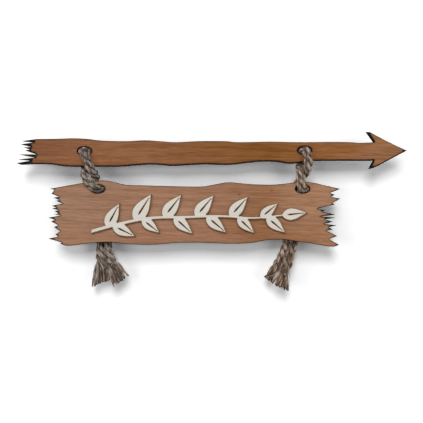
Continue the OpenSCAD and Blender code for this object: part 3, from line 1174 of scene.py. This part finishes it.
def seated(rows: list[Station]) -> list[Station]:
    """Turns the level of each station into a place: -1 is the front face, 1 the rear one.

    Args:
        rows: Stations as X, level, Z, width, depth and, where it isn't 0, skew.

    Returns:
        Stations as X, Y, Z, width, depth and skew.
    """
    made = []
    for x, level, z, width, depth, *skew in rows:
        y = SHEET_MIDDLE + TO_FACE * min(max(level, -1), 1) + ROPE_RADIUS * max(level - 1, 0)
        made.append((x, y, z, width, depth, skew[0] if skew else 0.0))
    return made


@dataclass
class RopeRun:
    """The rope's line with what changes along it, a row for each point.

    Attributes:
        line: Places, in mm.
        wide: Width as a share of the rope's own.
        deep: Depth as a share of the rope's own.
        axes: Direction and two cross axes.
        lean: First cross axis, slanted at a flared end.
        loose: How far the rope has come unlaid, 0 where it is laid and 1 at a flared end.
        s: Place along the rope, in mm.
    """

    line: Array
    wide: Array
    deep: Array
    axes: tuple[Array, Array, Array]
    lean: Array
    loose: Array
    s: Array

    def read(self, values: Array, shift: Array) -> Array:
        """Reads what changes along the rope at other places.

        Args:
            values: A row or a number for each point.
            shift: Places along the rope, in mm.

        Returns:
            The row at each place.
        """
        columns = values.reshape(len(self.s), -1).T
        return np.stack([np.interp(shift, self.s, column) for column in columns], 1)


@dataclass
class LaidRope:
    """A three-strand rope threaded through slat and board, knotted behind, with frayed tails.

    Attributes:
        node: Name of the CAD node.
        finish: Finish of the yarn.
        tail_a: Stations of the first tail, from its frayed end up.
        leg_a: First leg, from the knot to the slat's hole.
        leg_b: Second leg, from the slat's hole back to the knot.
        tail_b: Second tail, from the knot down.
        knot: X and Z of the knot's axis at its top and at its foot, in mm.
        length: Real length from end to end, in metres; not used.
        leaves_at: Point where the first tail comes out below the board, in metres; not used.
        seed: Start of the random draws.
        lay: Length in which a strand goes once round, in mm.
        counter: Turn of the yarns in a strand, as a share of the strands' own and against it.
        yarns: Yarns round the core of each strand.
        yarn_radius: Radius of a yarn, in mm.
        sides: Sides of a yarn's mesh.
        step: Distance of its rings, in mm.
        open_from: Width from which a tail comes unlaid, as a share of the rope's own.
        open_over: Further width at which it is fully unlaid.
        split_width: Width from which a tail is a frayed piece of its own.
        uneven: Most by which a yarn ends before the rope, in mm.
        uneven_reach: Length over which that is made up, in mm.
        hair_count: Number of stray fibres.
        swell: Factor on the yarns' distance from the rope's middle.
        tail_swell: What is added to it near both ends.
        tail_reach: Distance from an end at which that begins, in mm.
        tail_ease: Length over which it grows, in mm.
    """

    node: str
    finish: RopeFinish
    tail_a: list[Station]
    leg_a: list[Station]
    leg_b: list[Station]
    tail_b: list[Station]
    knot: tuple[tuple[float, float], tuple[float, float]]
    length: float
    leaves_at: tuple[float, float, float]
    seed: int
    lay: float = 25.0
    counter: float = 1.15
    yarns: int = 8
    yarn_radius: float = 0.66
    sides: int = 7
    step: float = 1.0
    open_from: float = 1.05
    open_over: float = 0.75
    split_width: float = 1.58
    uneven: float = 2.6
    uneven_reach: float = 12.0
    hair_count: int = 420
    swell: float = 1.05
    tail_swell: float = 0.07
    tail_reach: float = 48.0
    tail_ease: float = 12.0

    def stations(self) -> Array:
        """Draws the rope's line from end to end.

        Returns:
            Evenly spaced rows of X, Y, Z, width, depth and skew, in mm.
        """
        top, low = self.knot
        rows = (seated(self.tail_a) + knot_leg(top, low, 180.0)[::-1] + seated(self.leg_a)
                + seated(self.leg_b) + knot_leg(top, low, 0.0) + seated(self.tail_b))
        curve = catmull(np.array(rows), 8)
        along = np.concatenate([[0], np.cumsum(np.linalg.norm(np.diff(curve[:, :3], axis=0), axis=1))])
        at = np.linspace(0, along[-1], int(along[-1] / self.step) + 1)
        even = np.stack([np.interp(at, along, curve[:, k]) for k in range(6)], axis=1)
        kernel = np.array([1, 4, 6, 4, 1]) / 16
        padded = np.concatenate([even[:1]] * 2 + [even] + [even[-1:]] * 2)
        soft = np.stack([np.convolve(padded[:, k], kernel, "valid") for k in range(6)], axis=1)
        soft[[0, -1]] = even[[0, -1]]
        beyond = np.arange(1, 3)[:, None]
        return np.concatenate([soft[0] - (soft[1] - soft[0]) * beyond[::-1], soft,
                               soft[-1] + (soft[-1] - soft[-2]) * beyond])

    def run(self) -> RopeRun:
        """Gives the rope's line with its axes and how far it has come unlaid.

        Returns:
            The line with what changes along it.
        """
        rows = self.stations()
        line, wide, deep, skew = rows[:, :3], rows[:, 3], rows[:, 4], rows[:, 5:]
        axes = axes_along(line)
        loose = np.clip((wide - self.open_from) / self.open_over, 0, 1)
        loose[len(wide) // 4 : -len(wide) // 4] = 0
        loose = loose * loose * (3 - 2 * loose)
        return RopeRun(line, wide, deep, axes, axes[1] + skew * axes[0], loose, np.arange(len(line)) * self.step)

    def sections(self, phase: Array, loose: Array) -> Array:
        """Places each yarn in the rope's cross-section, laid in three strands or spread out evenly.

        Args:
            phase: Turn of the strands at each point, in radians.
            loose: How far the rope has come unlaid at each point.

        Returns:
            Places of the yarns, in mm, as yarns by points by two.
        """
        strand_r = 0.5 * ROPE_RADIUS
        places = []
        for strand in range(3):
            a = phase + strand * 2 * math.pi / 3
            for yarn in range(self.yarns + 1):
                r = 0.0 if yarn == self.yarns else strand_r - self.yarn_radius
                b = -self.counter * phase + yarn * 2 * math.pi / self.yarns + strand
                q = np.stack([strand_r * np.cos(a) + r * np.cos(b), strand_r * np.sin(a) + r * np.sin(b)], 1)
                # Strands press each other flat, which fills the grooves a little
                turn = np.arctan2(q[:, 1], q[:, 0]) - a
                rho = np.hypot(q[:, 0], q[:, 1]) / ROPE_RADIUS
                pressed = 0.18 * (1 - np.cos(3 * turn)) / 2 * np.clip(rho * 1.6 - 0.3, 0, 1)
                places.append(q * (1 + pressed)[:, None])
        places = np.array(places)
        count = len(phase)
        half = count * self.step / 2
        into_tail = np.abs(np.linspace(-1, 1, count)) * half - half + self.tail_reach
        ends = np.clip(into_tail, 0, self.tail_ease) / self.tail_ease
        places *= (self.swell + self.tail_swell * ends)[None, :, None]
        for tail in (slice(0, count // 4), slice(count - count // 4, count)):
            where = np.nonzero(loose[tail] < 0.03)[0]
            begin = tail.start + int(where.max() if tail.start == 0 else where.min())
            target = self.spread(places[:, begin])
            share = loose[tail][None, :, None]
            places[:, tail] = places[:, tail] * (1 - share) + target[:, None] * share
        return places

    @staticmethod
    def spread(places: Array) -> Array:
        """Spreads yarns evenly over the rope's section, each close to where it was.

        Args:
            places: Places of the yarns, in mm.

        Returns:
            Their new places.
        """
        order = np.argsort(-np.hypot(places[:, 0], places[:, 1]))
        outer, inner = round(len(places) * 0.52), round(len(places) * 0.52) + round(len(places) * 0.34)
        made = places.copy()
        for shell, radius in ((order[:outer], 0.93), (order[outer:inner], 0.6), (order[inner:], 0.22)):
            angle = np.arctan2(places[shell, 1], places[shell, 0])
            ranked = np.argsort(angle)
            even = np.arange(len(shell)) * 2 * math.pi / len(shell)
            even += (angle[ranked] - even).mean()
            made[shell[ranked]] = radius * ROPE_RADIUS * np.stack([np.cos(even), np.sin(even)], 1)
        return made

    def yarn_tubes(self, run: RopeRun, rng: np.random.Generator) -> list[Tube]:
        """Lays the yarns of the three strands.

        Args:
            run: The rope's line.
            rng: Source of the random draws.

        Returns:
            The yarns, from end to end.
        """
        line, wide, deep, lean, loose, s = run.line, run.wide, run.deep, run.lean, run.loose, run.s
        phase = -np.cumsum(2 * math.pi / self.lay * self.step * (1 - 0.85 * loose))
        phase -= phase[len(s) // 2]
        tubes = []
        for number, q in enumerate(self.sections(phase, loose)):
            drift = np.stack([wobble(rng, s, 13, limit=1.7) for _ in range(2)], 1)
            q = q + drift * np.stack([0.06 + 0.42 * loose, 0.06 + 0.25 * loose], 1)
            core = number % (self.yarns + 1) == self.yarns
            thick = self.yarn_radius * (1.5 if core else 1.0) * (1 + 0.3 * loose)
            thick *= 1 + 0.1 * wobble(rng, s, 4)
            shift = s + self.ragged(rng, s)
            q, thick = run.read(q, shift), run.read(thick, shift)[:, 0]
            centre = run.read(line, shift) + (q[:, :1] * run.read(wide, shift) * run.read(lean, shift)
                                              + q[:, 1:] * run.read(deep, shift) * run.read(run.axes[2], shift))
            tone = np.clip(rng.normal(0.42, 0.26) + wobble(rng, s, 4, 0.42), 0, 1.2)
            tubes.append(Tube.along(centre, thick, self.sides, tone, s, number,
                                    (q[:, 0] / ROPE_RADIUS, q[:, 1] / ROPE_RADIUS), loose))
        return tubes

    def ragged(self, rng: np.random.Generator, s: Array) -> Array:
        """Lets a yarn end a little before the rope does.

        Args:
            rng: Source of the random draws.
            s: Places along the rope, in mm.

        Returns:
            What is added to the places, which shortens the yarn at both ends.
        """
        reach = self.uneven_reach
        head, foot = rng.uniform(0, self.uneven, 2)
        return head * np.clip(1 - s / reach, 0, 1) - foot * np.clip(1 - (s[-1] - s) / reach, 0, 1)

    def hairs(self, run: RopeRun, rng: np.random.Generator, span: tuple[int, int]) -> list[tuple[str, Tube]]:
        """Grows stray fibres that lie on the rope and stand off a little.

        Args:
            run: The rope's line.
            rng: Source of the random draws.
            span: First and last point of the laid part.

        Returns:
            The fibres, each with the label of the part that it belongs to.
        """
        line, wide, deep, loose, (t, u, v) = run.line, run.wide, run.deep, run.loose, run.axes
        count, margin = len(line), 7
        weight = (1 + 1.2 * loose)[: count - 2 * margin]
        starts = rng.choice(count - 2 * margin, self.hair_count, p=weight / weight.sum()) + margin
        steps = np.linspace(0, 1, 6)
        made = []
        for i in starts:
            angle = rng.uniform(0, 2 * math.pi)
            reach = rng.uniform(3.0, 9.0)
            turn = rng.normal(0, 0.5)
            lift = rng.exponential(0.35) + 0.05
            side = rng.choice([-1, 1])
            at = np.clip(i + side * steps * reach, 0, count - 1)
            low = at.astype(int)
            a = angle + turn * steps
            rise = 0.1 + min(lift, 1.1) * steps ** 1.5
            centre = (line[low] + t[low] * (at - low)[:, None]
                      + (np.cos(a) * (ROPE_RADIUS * wide[low] + rise))[:, None] * u[low]
                      + (np.sin(a) * (ROPE_RADIUS * deep[low] + rise))[:, None] * v[low])
            thick = rng.uniform(0.08, 0.15) * (1 - 0.6 * steps)
            tone = np.full(len(steps), rng.uniform(0.55, 1.0))
            section = (np.cos(a), np.sin(a))
            label = "fray_a" if at.min() < span[0] else "fray_b" if at.max() > span[1] - 1 else "laid"
            made.append((label, Tube.along(centre, thick, 3, tone, at, int(i), section, loose[low])))
        return made

    def laid_span(self, wide: Array) -> tuple[int, int]:
        """Finds where the laid part begins and ends.

        Args:
            wide: Width of the rope at each point, as a share of its own.

        Returns:
            The first and the last point of the laid part.
        """
        ends, count = np.nonzero(wide > self.split_width)[0], len(wide)
        head, foot = ends[ends < count // 3], ends[ends > count * 2 // 3]
        return (int(head.max()) if len(head) else 0), (int(foot.min()) if len(foot) else count - 1)

    def build(self, effects: Effects) -> None:
        """Builds the laid part and the frayed ends, and puts them in place of the CAD node.

        Args:
            effects: Shared shader groups.
        """
        material = self.finish.build(effects)
        run = self.run()
        rng = np.random.default_rng(self.seed)
        tubes = self.yarn_tubes(run, rng)
        count = len(run.line)
        first, last = self.laid_span(run.wide)
        hairs = self.hairs(run, rng, (first, last))
        spans = {"laid": (first, last)}
        if first > 0:
            spans["fray_a"] = (0, first)
        if last < count - 1:
            spans["fray_b"] = (last, count - 1)
        pieces = []
        for label, (low, high) in spans.items():
            parts = [tube.cut(low, high) for tube in tubes]
            parts += [tube for at, tube in hairs if at == label]
            pieces.append(join_tubes(f"{self.node}_{label}", parts, material))
        laid = pieces[0]
        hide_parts(self.node)
        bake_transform(laid)
        for piece in pieces[1:]:
            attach(piece, Body.BOARD.value)
        for piece in pieces:
            LOG.info("%s: %d faces", piece.name, len(piece.data.polygons))
        LOG.info("%s: %.0f mm from end to end, %.0f mm laid", self.node, (count - 1) * self.step,
                 (last - first) * self.step)


LEFT_ROPE = LaidRope(
    node="left_rope",
    finish=RopeFinish("left_rope_yarn", to_linear(228, 212, 198), to_linear(84, 72, 64)),
    tail_a=[(-97, 1, -136.4, 2.1, 0.72, 0.12), (-100.3, 1, -130, 1.95, 0.76),
            (-104, 1, -122.5, 1.62, 0.8), (-107.1, 1.05, -115.5, 1.2, 0.86),
            (-109.6, 1.1, -109, 0.98, 0.92), (-110.6, 1.25, -103, 0.94, 0.95),
            (-110.7, 1.5, -97, 0.92, 0.98)],
    leg_a=[(-121.8, 2, -47, 1, 1), (-124.6, 1.7, -43.6, 1, 1), (-126, 1.3, -39.4, 1.04, 1),
           (-125.6, 1.1, -35, 1.1, 1), (-124.2, 1, -30.9, 1.1, 1), (-123.5, 0.76, -27.6, 1.06, 1),
           (-123.2, 0.3, -25.1, 1, 1), (-123.9, -0.2, -22.6, 0.98, 1), (-125.5, -0.75, -20.2, 0.98, 1),
           (-127.3, -0.97, -17.4, 1, 1), (-129, -1, -14, 1, 1), (-130.6, -1, -9.5, 1.02, 1),
           (-131.8, -1, -5.2, 1.04, 1), (-133, -0.82, -1.5, 1.1, 0.96), (-133.8, -0.45, 0.1, 1.16, 0.9)],
    leg_b=[(-134.2, 0, 0.3, 1.18, 0.88), (-133.8, 0.45, 0.2, 1.2, 0.9), (-132.8, 0.82, -1.1, 1.2, 0.96),
           (-132.3, 1, -4.9, 1.1, 1), (-133.2, 1, -9.5, 1.02, 1), (-134.2, 1, -14, 1, 1),
           (-134.5, 0.97, -17.4, 1, 1), (-134.5, 0.75, -20.2, 0.98, 1), (-134.1, 0.2, -22.6, 0.98, 1),
           (-133.6, -0.3, -25.1, 0.98, 1), (-132.5, -0.76, -27.6, 1, 1), (-129.2, -1, -30.9, 1.08, 1),
           (-126.2, -1.02, -34.2, 1.08, 1), (-123.8, -0.98, -37.2, 1.04, 0.96), (-121.5, -0.64, -39.3, 1, 0.9),
           (-119.2, -0.05, -39.8, 1, 0.87), (-117.2, 0.52, -39.9, 1, 0.9), (-115.2, 1.04, -40.2, 1.04, 1),
           (-112.6, 1.6, -42.9, 1, 1), (-110.2, 1.92, -46.4, 1, 1)],
    tail_b=[(-118.9, 1.95, -97, 0.94, 0.98), (-119, 1.9, -105.7, 0.99, 0.95),
            (-118.1, 1.7, -117, 1.44, 0.86), (-118, 1.5, -127, 1.82, 0.8, -0.15),
            (-118.1, 1.3, -138.8, 2.05, 0.72, -0.38)],
    knot=((-114.6, -50), (-115.2, -90)),
    length=0.38,
    leaves_at=(-0.1094, 0.001, -0.1095),
    seed=11,
)

RIGHT_ROPE = LaidRope(
    node="right_rope",
    finish=RopeFinish("right_rope_yarn", to_linear(253, 228, 206), to_linear(110, 88, 73), to_linear(50, 36, 28),
                      to_linear(132, 94, 66)),
    tail_a=[(73, 0.75, -143, 1.95, 0.72, -0.25), (75.9, 0.75, -131, 1.5, 0.76, -0.1),
            (79.2, 0.8, -122, 1.3, 0.82), (82.5, 0.9, -113, 1.08, 0.88),
            (86, 1.2, -103, 0.94, 0.95), (87.8, 1.6, -97, 0.9, 0.98)],
    leg_a=[(86.6, 2, -46.6, 1, 1), (87.4, 1.8, -42, 1, 1), (89.3, 1.5, -37.8, 1, 1),
           (91.9, 1.25, -34.1, 1, 1), (94.3, 1, -30.8, 1, 1), (96.8, 0.9, -27.4, 0.92, 0.94),
           (98.5, 0.65, -24.4, 0.88, 0.9), (100.1, 0.25, -21.8, 0.86, 0.9), (100.7, -0.25, -19.2, 0.86, 0.92),
           (101, -0.78, -16, 0.94, 0.96), (101, -1, -12.4, 1, 1), (100.6, -1, -8.5, 1, 1),
           (99.8, -1, -4.2, 1, 1), (99.3, -0.82, -0.8, 1.04, 0.96), (98.4, -0.45, 0.5, 1.06, 0.9)],
    leg_b=[(96.6, 0, 0.7, 1, 0.88), (95.4, 0.45, 0.6, 1, 0.9), (94.5, 0.95, -0.9, 1, 0.94),
           (94.3, 1.1, -4.6, 1, 1), (94.2, 1.05, -8.9, 1, 1), (94.1, 1, -12.4, 1, 1),
           (93.7, 0.82, -16, 0.96, 0.96), (92.8, 0.25, -19.2, 0.88, 0.92), (92.4, -0.25, -21.8, 0.86, 0.9),
           (92.5, -0.65, -24.4, 0.88, 0.9), (92.9, -0.9, -27.6, 0.94, 0.96), (93.4, -1, -31.6, 1, 1),
           (93.9, -0.99, -35.7, 1.06, 0.98), (94.4, -0.72, -38.8, 1.13, 0.92), (96.1, -0.1, -39.9, 1.14, 0.87),
           (98.3, 0.5, -40.1, 1.14, 0.9), (99, 0.97, -41, 1.1, 0.98), (98, 1.6, -45, 1, 1)],
    tail_b=[(80.1, 2.1, -97, 0.94, 0.98), (78, 2.1, -105, 0.97, 0.95), (74.6, 2.05, -112.5, 1.03, 0.9),
            (70.9, 1.95, -120, 1.08, 0.85), (66.2, 1.8, -127.5, 1.24, 0.8), (60.6, 1.7, -135, 1.5, 0.72, 0.07)],
    knot=((91, -50), (85, -90)),
    length=0.38,
    leaves_at=(0.0828, 0.001, -0.1125),
    seed=23,
)


# ---------------------------------------------------------------- hangers


@dataclass
class Hangers:
    """The two bridge hangers and their screws, kept as the CAD made them.

    Attributes:
        steel: Finish of the hangers.
        brass: Finish of the screws.
    """

    steel: MetalFinish = MetalFinish("zinc_plated_steel", to_linear(158, 161, 165), to_linear(118, 121, 125), 0.42)
    brass: MetalFinish = MetalFinish("yellow_plated_screw", to_linear(186, 156, 92), to_linear(138, 110, 62), 0.34)

    def build(self) -> None:
        """Dresses the CAD nodes."""
        for names, finish in ((("left_hanger", "right_hanger"), self.steel), (("hanger_screws",), self.brass)):
            material = finish.build()
            for name in names:
                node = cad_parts[name]
                node.data.materials.clear()
                node.data.materials.append(material)
                LOG.info("%s: dressed", name)


# ---------------------------------------------------------------- studio


@dataclass(frozen=True)
class Lamp:
    """A soft rectangular lamp that looks at the sign.

    Attributes:
        name: Name of the lamp.
        azimuth: Side that it stands on: 0 in front, negative to the left, in degrees.
        elevation: Height above the horizon, in degrees.
        distance: Distance from the sign, in metres.
        size: Its width and height, in metres.
        share: Brightness that it gives a white surface facing it.
    """

    name: str
    azimuth: float
    elevation: float
    distance: float
    size: tuple[float, float]
    share: float

    def build(self, target: Vector) -> None:
        """Adds the lamp.

        Args:
            target: Point that it looks at.
        """
        data = bpy.data.lights.new(self.name, "AREA")
        data.shape = "RECTANGLE"
        data.size, data.size_y = self.size
        data.energy = self.share * math.pi ** 2 * self.distance ** 2
        a, e = math.radians(self.azimuth), math.radians(self.elevation)
        back = Vector((math.sin(a) * math.cos(e), -math.cos(a) * math.cos(e), math.sin(e)))
        lamp = bpy.data.objects.new(self.name, data)
        lamp.location = target + back * self.distance
        lamp.rotation_mode = "QUATERNION"
        lamp.rotation_quaternion = (-back).to_track_quat("-Z", "Y")
        bpy.context.scene.collection.objects.link(lamp)


@dataclass
class Studio:
    """Camera, lamps, wall and floor, in metres.

    Attributes:
        reach: Distance from the camera to the sign's front face.
        width: Width of the picture at that face.
        face_y: Y of that face.
        axis: X and Z of the camera.
        wall_y: Y of the wall.
        wall_top: Z of its upper edge.
        floor_z: Z of the floor.
        floor_depth: How far the floor reaches before and behind the sign.
        half_width: Half the width of wall and floor.
        ambient: Strength of the world's light.
        card_front: Y of the black cards' front edges, just behind the wood.
        card_gap: Room between their rear edges and the wall.
        card_half: Half the width of a black card.
        card_full: Distance from its middle up to which it is wholly black.
        cards: Name, X and Z of each black card.
        lamps: The lamps.
    """

    reach: float = 0.75
    width: float = 0.44415
    face_y: float = -0.01
    axis: tuple[float, float] = (-0.00016, -0.0635)
    wall_y: float = 0.0235
    wall_top: float = 0.5
    floor_z: float = -0.42
    floor_depth: float = 1.2
    half_width: float = 1.1
    ambient: float = 0.13
    card_front: float = -0.0038
    card_gap: float = 0.0002
    card_half: float = 0.022
    card_full: float = 0.008
    cards: tuple[tuple[str, float, float], ...] = (
        ("left_slat_flag", -0.1335, 0.0085), ("right_slat_flag", 0.0975, 0.0085),
        ("left_board_flag", -0.1175, -0.0335), ("right_board_flag", 0.098, -0.0335))
    lamps: tuple[Lamp, ...] = (
        Lamp("key_lamp", -2.0, 26.0, 2.4, (0.8, 1.02), 0.58),
        Lamp("side_lamp", -45.0, 27.0, 2.0, (0.4, 0.4), 0.1),
        Lamp("left_fill", -36.0, -3.0, 2.0, (1.1, 0.6), 0.16),
        Lamp("right_fill", 38.0, -3.0, 2.0, (1.1, 0.6), 0.16),
        Lamp("back_lamp", 150.0, -8.0, 2.4, (2.6, 2.6), 0.62))

    def camera(self) -> None:
        """Puts the camera where the photograph was taken from."""
        data = bpy.data.cameras.new("camera")
        data.sensor_width = 36.0
        data.lens = data.sensor_width * self.reach / self.width
        data.clip_start, data.clip_end = 0.01, 20.0
        cam = bpy.data.objects.new("camera", data)
        cam.location = (self.axis[0], self.face_y - self.reach, self.axis[1])
        cam.rotation_euler = (math.pi / 2, 0, 0)
        bpy.context.scene.collection.objects.link(cam)
        bpy.context.scene.camera = cam

    def world(self) -> None:
        """Gives a white background that lights the sign only gently."""
        world = bpy.data.worlds.new("studio")
        bpy.context.scene.world = world
        world.use_nodes = True
        g = Graph(world.node_tree)
        path = g.add("LightPath").outputs
        clear = g.math("MAXIMUM", path["Is Glossy Ray"], path["Is Transmission Ray"])
        seen = g.math("MAXIMUM", path["Is Camera Ray"], clear)
        background = world.node_tree.nodes["Background"]
        background.inputs["Color"].default_value = (1, 1, 1, 1)
        g.put(background.inputs["Strength"], g.ranged(seen, 0.0, 1.0, self.ambient, 1.0))

    @staticmethod
    def sheet(name: str, corners: list[tuple[float, float, float]], material: bpy.types.Material,
              place: tuple[float, float, float] = (0.0, 0.0, 0.0)) -> None:
        """Adds a flat sheet that isn't part of the sign.

        Args:
            name: Name of the sheet.
            corners: Its four corners.
            material: Its material.
            place: Place of its origin.
        """
        mesh = bpy.data.meshes.new(name)
        mesh.from_pydata(corners, [], [(0, 1, 2, 3)])
        mesh.materials.append(material)
        sheet = bpy.data.objects.new(name, mesh)
        sheet.location = place
        bpy.context.scene.collection.objects.link(sheet)

    def backdrop(self) -> None:
        """Adds the wall behind the sign and the floor below it; both only catch its shadow."""
        material, g, surface = stage_material("white_paper")
        diffuse = g.add("BsdfDiffuse", {}, Color=(1.22, 1.22, 1.22))
        glow = g.add("Emission", {}, Color=(1.0, 1.0, 1.0), Strength=0.015)
        paper = g.add("AddShader", {}, in0=diffuse.outputs[0], in1=glow.outputs[0])
        front = g.math("SUBTRACT", 1.0, g.add("NewGeometry").outputs["Backfacing"])
        path = g.add("LightPath").outputs
        seen = g.math("MULTIPLY", path["Is Camera Ray"], front)
        mix = g.add("MixShader", {}, in0=seen, in1=g.add("BsdfTransparent").outputs[0], in2=paper.outputs[0])
        # Light that only comes round by the sign's back would tint the paper, so it stops here
        bounced = g.math("MULTIPLY", g.math("GREATER_THAN", path["Ray Depth"], 1.5), front)
        dark = g.add("BsdfDiffuse", {}, Color=(0.0, 0.0, 0.0))
        g.put(surface, g.add("MixShader", {}, in0=bounced, in1=mix.outputs[0], in2=dark.outputs[0]).outputs[0])
        w, y, d, low, high = self.half_width, self.wall_y, self.floor_depth, self.floor_z, self.wall_top
        self.sheet("wall", [(-w, y, low), (w, y, low), (w, y, high), (-w, y, high)], material)
        self.sheet("floor", [(-w, -d, low), (w, -d, low), (w, d, low), (-w, d, low)], material)

    def flags(self) -> None:
        """Adds the black cards that keep lamp light off the wall right behind the holes.

        Each reaches from the wood's back to the wall, is hidden by the wood, only stops light that comes from
        below, and grows clear towards its ends.
        """
        material, g, surface = stage_material("black_card")
        card = g.add("BsdfDiffuse", {}, Color=(0.0, 0.0, 0.0))
        path = g.add("LightPath").outputs
        stops = g.math("MAXIMUM", path["Is Shadow Ray"], path["Is Diffuse Ray"])
        stops = g.math("MULTIPLY", stops, g.add("NewGeometry").outputs["Backfacing"])
        aside = g.math("ABSOLUTE", g.add("SeparateXYZ", {}, Vector=g.place()).outputs[0])
        stops = g.math("MULTIPLY", stops, g.ranged(aside, self.card_half, self.card_full))
        clear = g.add("BsdfTransparent")
        g.put(surface, g.add("MixShader", {}, in0=stops, in1=clear.outputs[0], in2=card.outputs[0]).outputs[0])
        near, far, half = self.card_front, self.wall_y - self.card_gap, self.card_half
        for name, x, z in self.cards:
            self.sheet(name, [(-half, near, 0), (half, near, 0), (half, far, 0), (-half, far, 0)], material,
                       (x, 0.0, z))

    def build(self) -> None:
        """Sets up the whole studio."""
        bpy.context.scene.view_settings.view_transform = "Standard"
        self.camera()
        self.world()
        self.backdrop()
        self.flags()
        for lamp in self.lamps:
            lamp.build(Vector((0, 0, self.axis[1])))


def main() -> None:
    """Builds the sign piece by piece."""
    effects = Effects()
    Studio().build()
    for part in (LEFT_ROPE, RIGHT_ROPE, SLAT, BOARD, TWIG):
        part.build(effects)
    Hangers().build()


if __name__ == "__main__":
    main()
